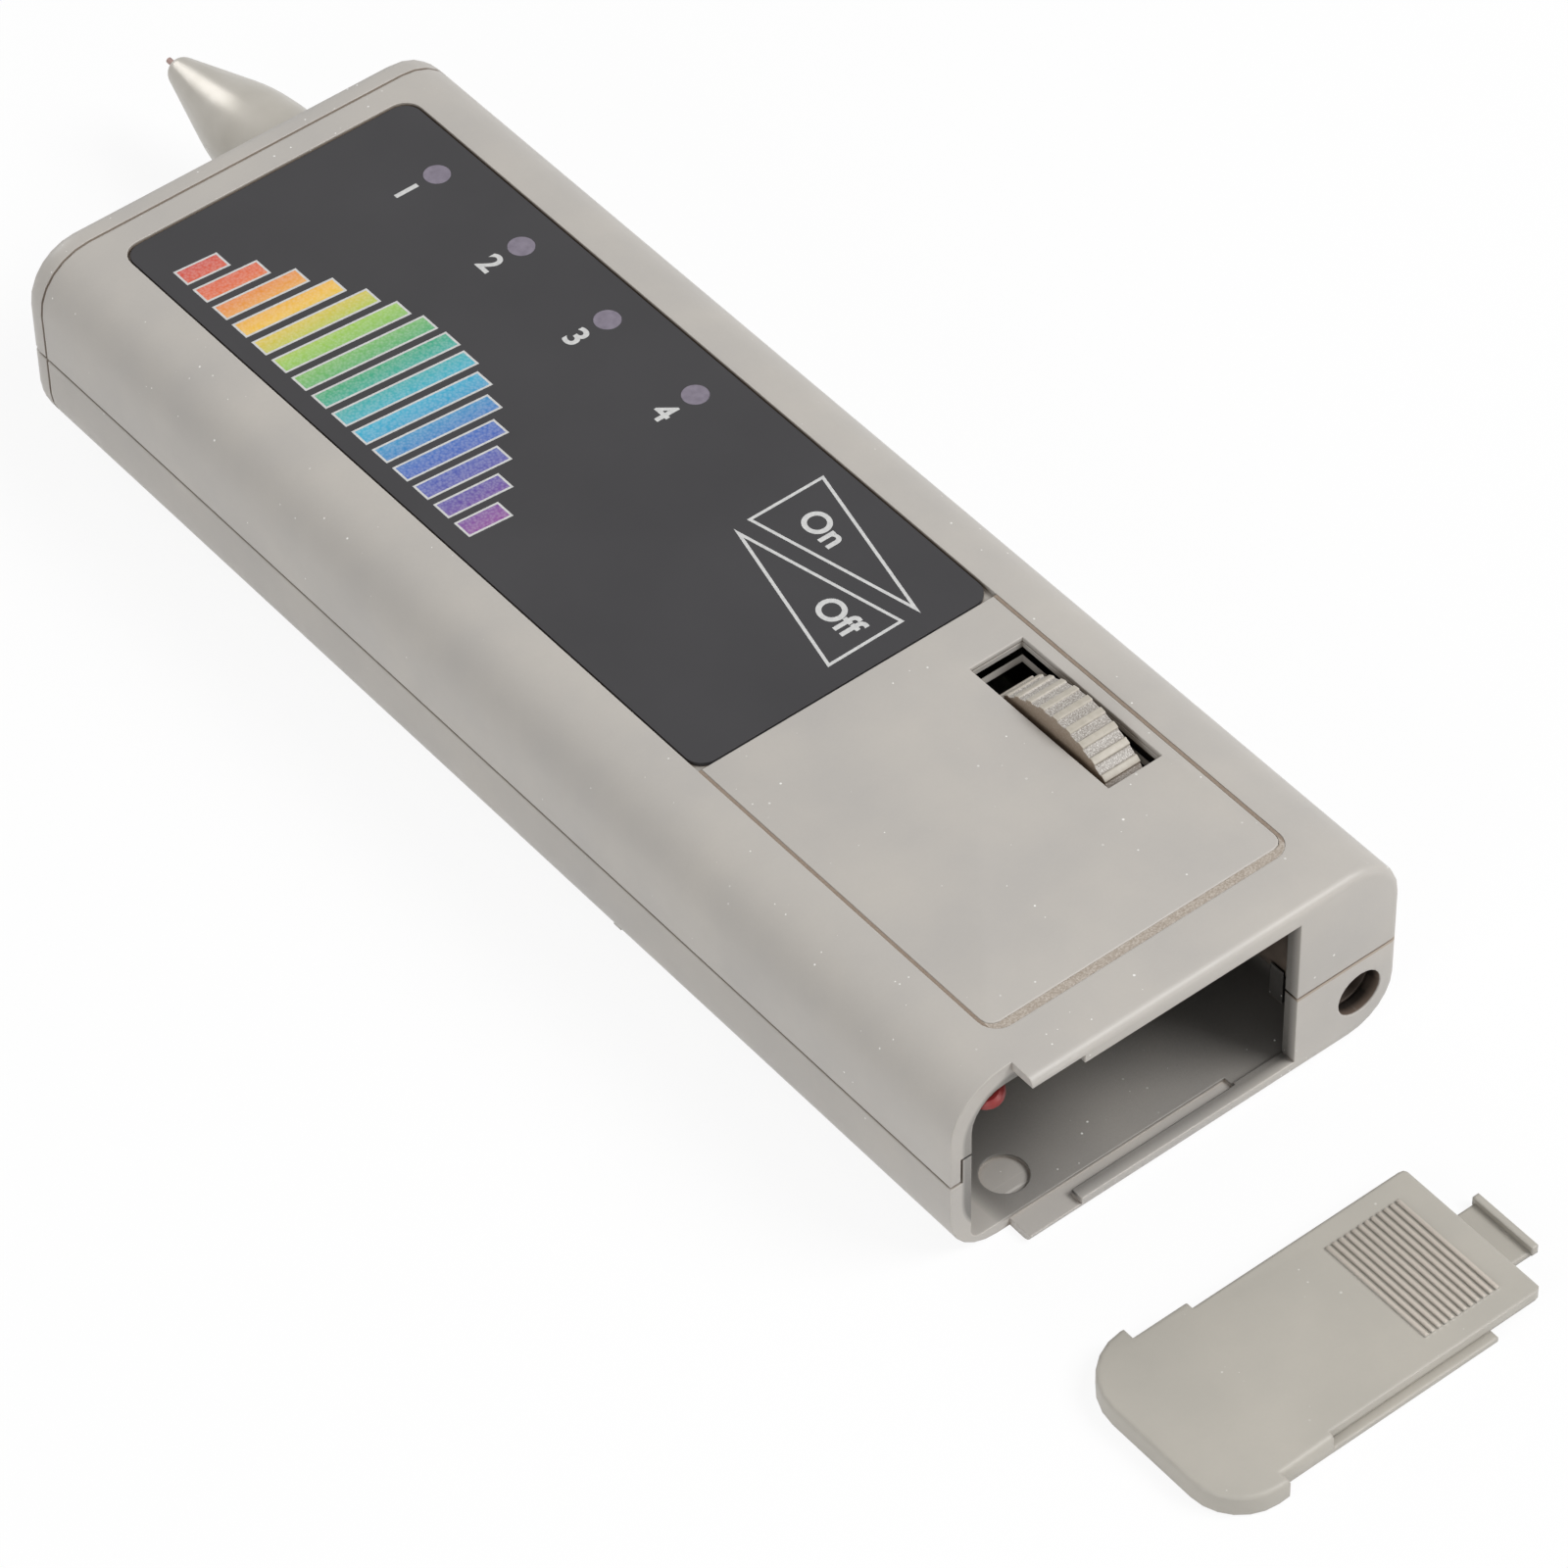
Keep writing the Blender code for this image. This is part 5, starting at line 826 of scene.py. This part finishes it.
def flat_mesh(name, outlines, thickness):
    """A flat sheet from its outlines, where inner ones are holes."""
    curve = bpy.data.curves.new(name, "CURVE")
    curve.dimensions = "2D"
    curve.fill_mode = "BOTH"
    curve.extrude = thickness / 2
    for outline in outlines:
        spline = curve.splines.new("POLY")
        spline.points.add(len(outline) - 1)
        for point, place in zip(spline.points, outline):
            point.co = (*place, 0, 1)
        spline.use_cyclic_u = True
    return as_mesh(name, curve)


def placed(name, mesh, place, finish, turn=0.0):
    """A piece of the case from a mesh, put in its place, with its finish."""
    piece = bpy.data.objects.new(name, mesh)
    piece.location = place
    piece.rotation_euler.z = turn
    mesh.materials.clear()
    mesh.materials.append(MATERIALS[finish])
    bpy.context.scene.collection.objects.link(piece)
    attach(piece, "case")
    return piece


# Label, windows and print
def make_label():
    """The dark film, close round its windows, and the windows themselves."""
    outline = rounded(LABEL_LOW.to_2d(), LABEL_HIGH.to_2d(), LABEL_CORNER)
    holes = [ring(place, WINDOW_RADIUS + WINDOW_JOINT) for place in WINDOW_PLACES]
    level = (0, 0, LABEL_MIDDLE)
    mesh = flat_mesh("label", [outline, *holes], LABEL_THICKNESS)
    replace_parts(placed("label", mesh, level, "label_film"), "face_label")
    for number, place in enumerate(WINDOW_PLACES, 1):
        name = f"window_{number}"
        mesh = flat_mesh(name, [ring(place, WINDOW_RADIUS)], LABEL_THICKNESS)
        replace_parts(placed(name, mesh, level, "window_film"), f"led_window_{number}")


def printed(name, outlines, ink):
    """A thin layer of ink on the label."""
    placed(name, flat_mesh(name, outlines, PRINT_THICKNESS), (0, 0, PRINT_LEVEL), ink)


def lettered(name, text, size, place):
    """Plain lettering that reads from the front to the rear of the label."""
    font = bpy.data.curves.new(name, "FONT")
    font.body = text
    font.size = size
    font.align_x = "CENTER"
    font.align_y = "CENTER"
    font.offset = size * LETTER_BOLDNESS
    font.extrude = PRINT_THICKNESS / 2
    placed(name, as_mesh(name, font), (*place, PRINT_LEVEL), "print_white", -math.pi / 2)


def make_words():
    """Numerals by the windows, and two wedges for on and off."""
    for number, (_, along) in enumerate(WINDOW_PLACES, 1):
        lettered(f"numeral_{number}", str(number), NUMERAL_SIZE, (NUMERAL_ACROSS, along))
    for word, corners in WEDGE_CORNERS.items():
        printed(f"wedge_{word}", [corners, inset(corners, WEDGE_LINE)], "print_white")
        lettered(f"word_{word}", word, WORD_SIZE, WORD_PLACES[word])


def make_scale():
    """A rainbow scale of slanted bars, each with a white line round it."""
    fills, lines = [], []
    for number in range(BAR_COUNT):
        middle = BAR_FIRST - number * BAR_PITCH
        front, rear = middle + BAR_WIDTH / 2, middle - BAR_WIDTH / 2
        height = BAR_LOW + BAR_RISE * math.sin(math.pi * (number + 0.5) / BAR_COUNT)
        lean = BAR_SLANT * height / (BAR_LOW + BAR_RISE)
        end = BAR_BASE + height
        bar = [(BAR_BASE, front), (BAR_BASE, rear), (end, rear - lean), (end, front - lean)]
        inner = inset(bar, BAR_LINE)
        lines += [bar, inner]
        fills.append(inner)
    printed("scale_lines", lines, "print_white")
    printed("scale_bars", fills, "print_spectrum")


# Groove round the panel
def make_groove_bed():
    """The raised rough bottom of the groove that runs round the panel's sides and rear."""
    front = PANEL_HIGH.y
    side = LABEL_HIGH.x + LABEL_GAP - BED_GAP
    rear = PANEL_LOW.y - REAR_GROOVE + BED_GAP
    inner = PANEL_HIGH.x + BED_GAP
    inner_rear = PANEL_LOW.y - BED_GAP
    outline = [(side, front)]
    outline += bend((side - RECESS_CORNER, rear + RECESS_CORNER), RECESS_CORNER, 0, -90)
    outline += bend((RECESS_CORNER - side, rear + RECESS_CORNER), RECESS_CORNER, -90, -180)
    outline += [(-side, front), (-inner, front)]
    outline += bend((PANEL_CORNER - inner, inner_rear + PANEL_CORNER), PANEL_CORNER, -180, -90)
    outline += bend((inner - PANEL_CORNER, inner_rear + PANEL_CORNER), PANEL_CORNER, -90, 0)
    outline += [(inner, front)]
    place = (0, 0, PANEL_LOW.z + BED_THICKNESS / 2)
    mesh = flat_mesh("groove_bed", [outline], BED_THICKNESS)
    placed("groove_bed", mesh, place, "groove_bed")


# Lip of the wheel's slot
def make_slot_lip():
    """The moulded lip that lines the wheel's slot at its front end and sides."""
    left, right = SLOT_LEFT - LIP_THICKNESS, SLOT_RIGHT + LIP_THICKNESS
    front = SLOT_FRONT + LIP_THICKNESS
    outline = [(left, SLOT_REAR), (left, front), (right, front), (right, SLOT_REAR)]
    outline += [(SLOT_RIGHT, SLOT_REAR), (SLOT_RIGHT, SLOT_FRONT)]
    outline += [(SLOT_LEFT, SLOT_FRONT), (SLOT_LEFT, SLOT_REAR)]
    place = (0, 0, (LIP_TOP + LIP_BOTTOM) / 2)
    mesh = flat_mesh("slot_lip", [outline], LIP_TOP - LIP_BOTTOM)
    placed("slot_lip", mesh, place, "panel_plastic")


# Edges that are rounded on a copy of a CAD node
def every_sharp(edge):
    """Chooses all sharp edges."""
    return edge.calc_face_angle(0) > SHARP_ANGLE


def above(level):
    """Chooses sharp edges that lie wholly above a level."""
    return lambda edge: all(vert.co.z > level for vert in edge.verts) and every_sharp(edge)


def at_seam(edge):
    """Chooses the sharp edges of the joint between the shells, on the case's outside."""
    rear, front = CASE_LOW.y + END_WALL / 2, CASE_HIGH.y - END_WALL / 2
    for vert in edge.verts:
        if abs(abs(vert.co.z - SEAM_HEIGHT) - SEAM_GAP / 2) > SEAM_NEAR:
            return False
        if abs(vert.co.x) < CASE_HIGH.x - CASE_WALL and rear < vert.co.y < front:
            return False
    return every_sharp(edge)


# CAD nodes
def slot_of(node):
    """The record's slot that a CAD node was made with."""
    return NODES[node].data.materials[0].name.split(".")[0]


def round_edges(shape, chosen, width, segments=3):
    """Rounds the chosen edges of a shape."""
    edges = [edge for edge in shape.edges if chosen(edge)]
    bmesh.ops.bevel(
        shape, geom=edges, offset=width, segments=segments, affect="EDGES", profile=0.5, clamp_overlap=True
    )


def dressed(node, finish=None, rounds=()):
    """A smooth-shaded copy of a CAD node that stands for it, with some edges rounded."""
    slot = slot_of(node)
    mesh = NODES[node].data.copy()
    shape = bmesh.new()
    shape.from_mesh(mesh)
    bmesh.ops.remove_doubles(shape, verts=shape.verts, dist=MERGE_DISTANCE)
    bmesh.ops.dissolve_limit(shape, angle_limit=FLAT_ANGLE, verts=shape.verts, edges=shape.edges)
    for chosen, width in rounds:
        round_edges(shape, chosen, width)
    shape.to_mesh(mesh)
    shape.free()
    mesh.materials.clear()
    mesh.materials.append(MATERIALS[finish or slot])
    if mesh.attributes.get("custom_normal"):
        mesh.attributes.remove(mesh.attributes["custom_normal"])
    mesh.polygons.foreach_set("use_smooth", [True] * len(mesh.polygons))
    mesh.set_sharp_from_angle(angle=SHARP_ANGLE)
    piece = bpy.data.objects.new(node + "_dressed", mesh)
    bpy.context.scene.collection.objects.link(piece)
    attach(piece, NODES[node]["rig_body"])
    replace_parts(piece, node)
    return piece


# The CAD nodes that can be seen, with the edges to round, and a finish where it isn't the slot's own
PANEL_RIM = above(PANEL_HIGH.z - RIM_BAND)
COVER_RIM = above(COVER_HIGH.z - RIM_BAND)
DRESSED = {
    "upper_shell": {"rounds": [(at_seam, SEAM_BEVEL)]},
    "lower_shell": {"rounds": [(at_seam, SEAM_BEVEL)]},
    "switch_panel": {"finish": "panel_plastic", "rounds": [(PANEL_RIM, PANEL_ROUNDING)]},
    "power_wheel": {"finish": "wheel_plastic", "rounds": [(every_sharp, WHEEL_ROUNDING)]},
    "battery_cover": {"finish": "cover_plastic", "rounds": [(COVER_RIM, GRIP_ROUNDING)]},
    "adapter_jack": {"finish": "jack_plastic"},
    "probe_nose": {},
    "probe_tip": {},
    "red_lead": {},
    "black_lead": {},
    "battery_snap": {},
    "touch_plate": {},
}


def dress_nodes():
    """Dresses the nodes of the table, and gives the others their finish and leaves their shape."""
    for name, node in NODES.items():
        if name in DRESSED:
            dressed(name, **DRESSED[name])
        elif not node.hide_render:
            node.material_slots[0].material = MATERIALS[slot_of(name)]


def dress_spring():
    """The spring, dressed, on a mesh of its own."""
    spring = dressed("tip_spring")
    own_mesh(spring)


make_camera()
make_world()
make_floor()
for name, lamp in LAMPS.items():
    make_lamp(name, **lamp)
make_label()
make_words()
make_scale()
make_groove_bed()
make_slot_lip()
dress_nodes()
dress_spring()
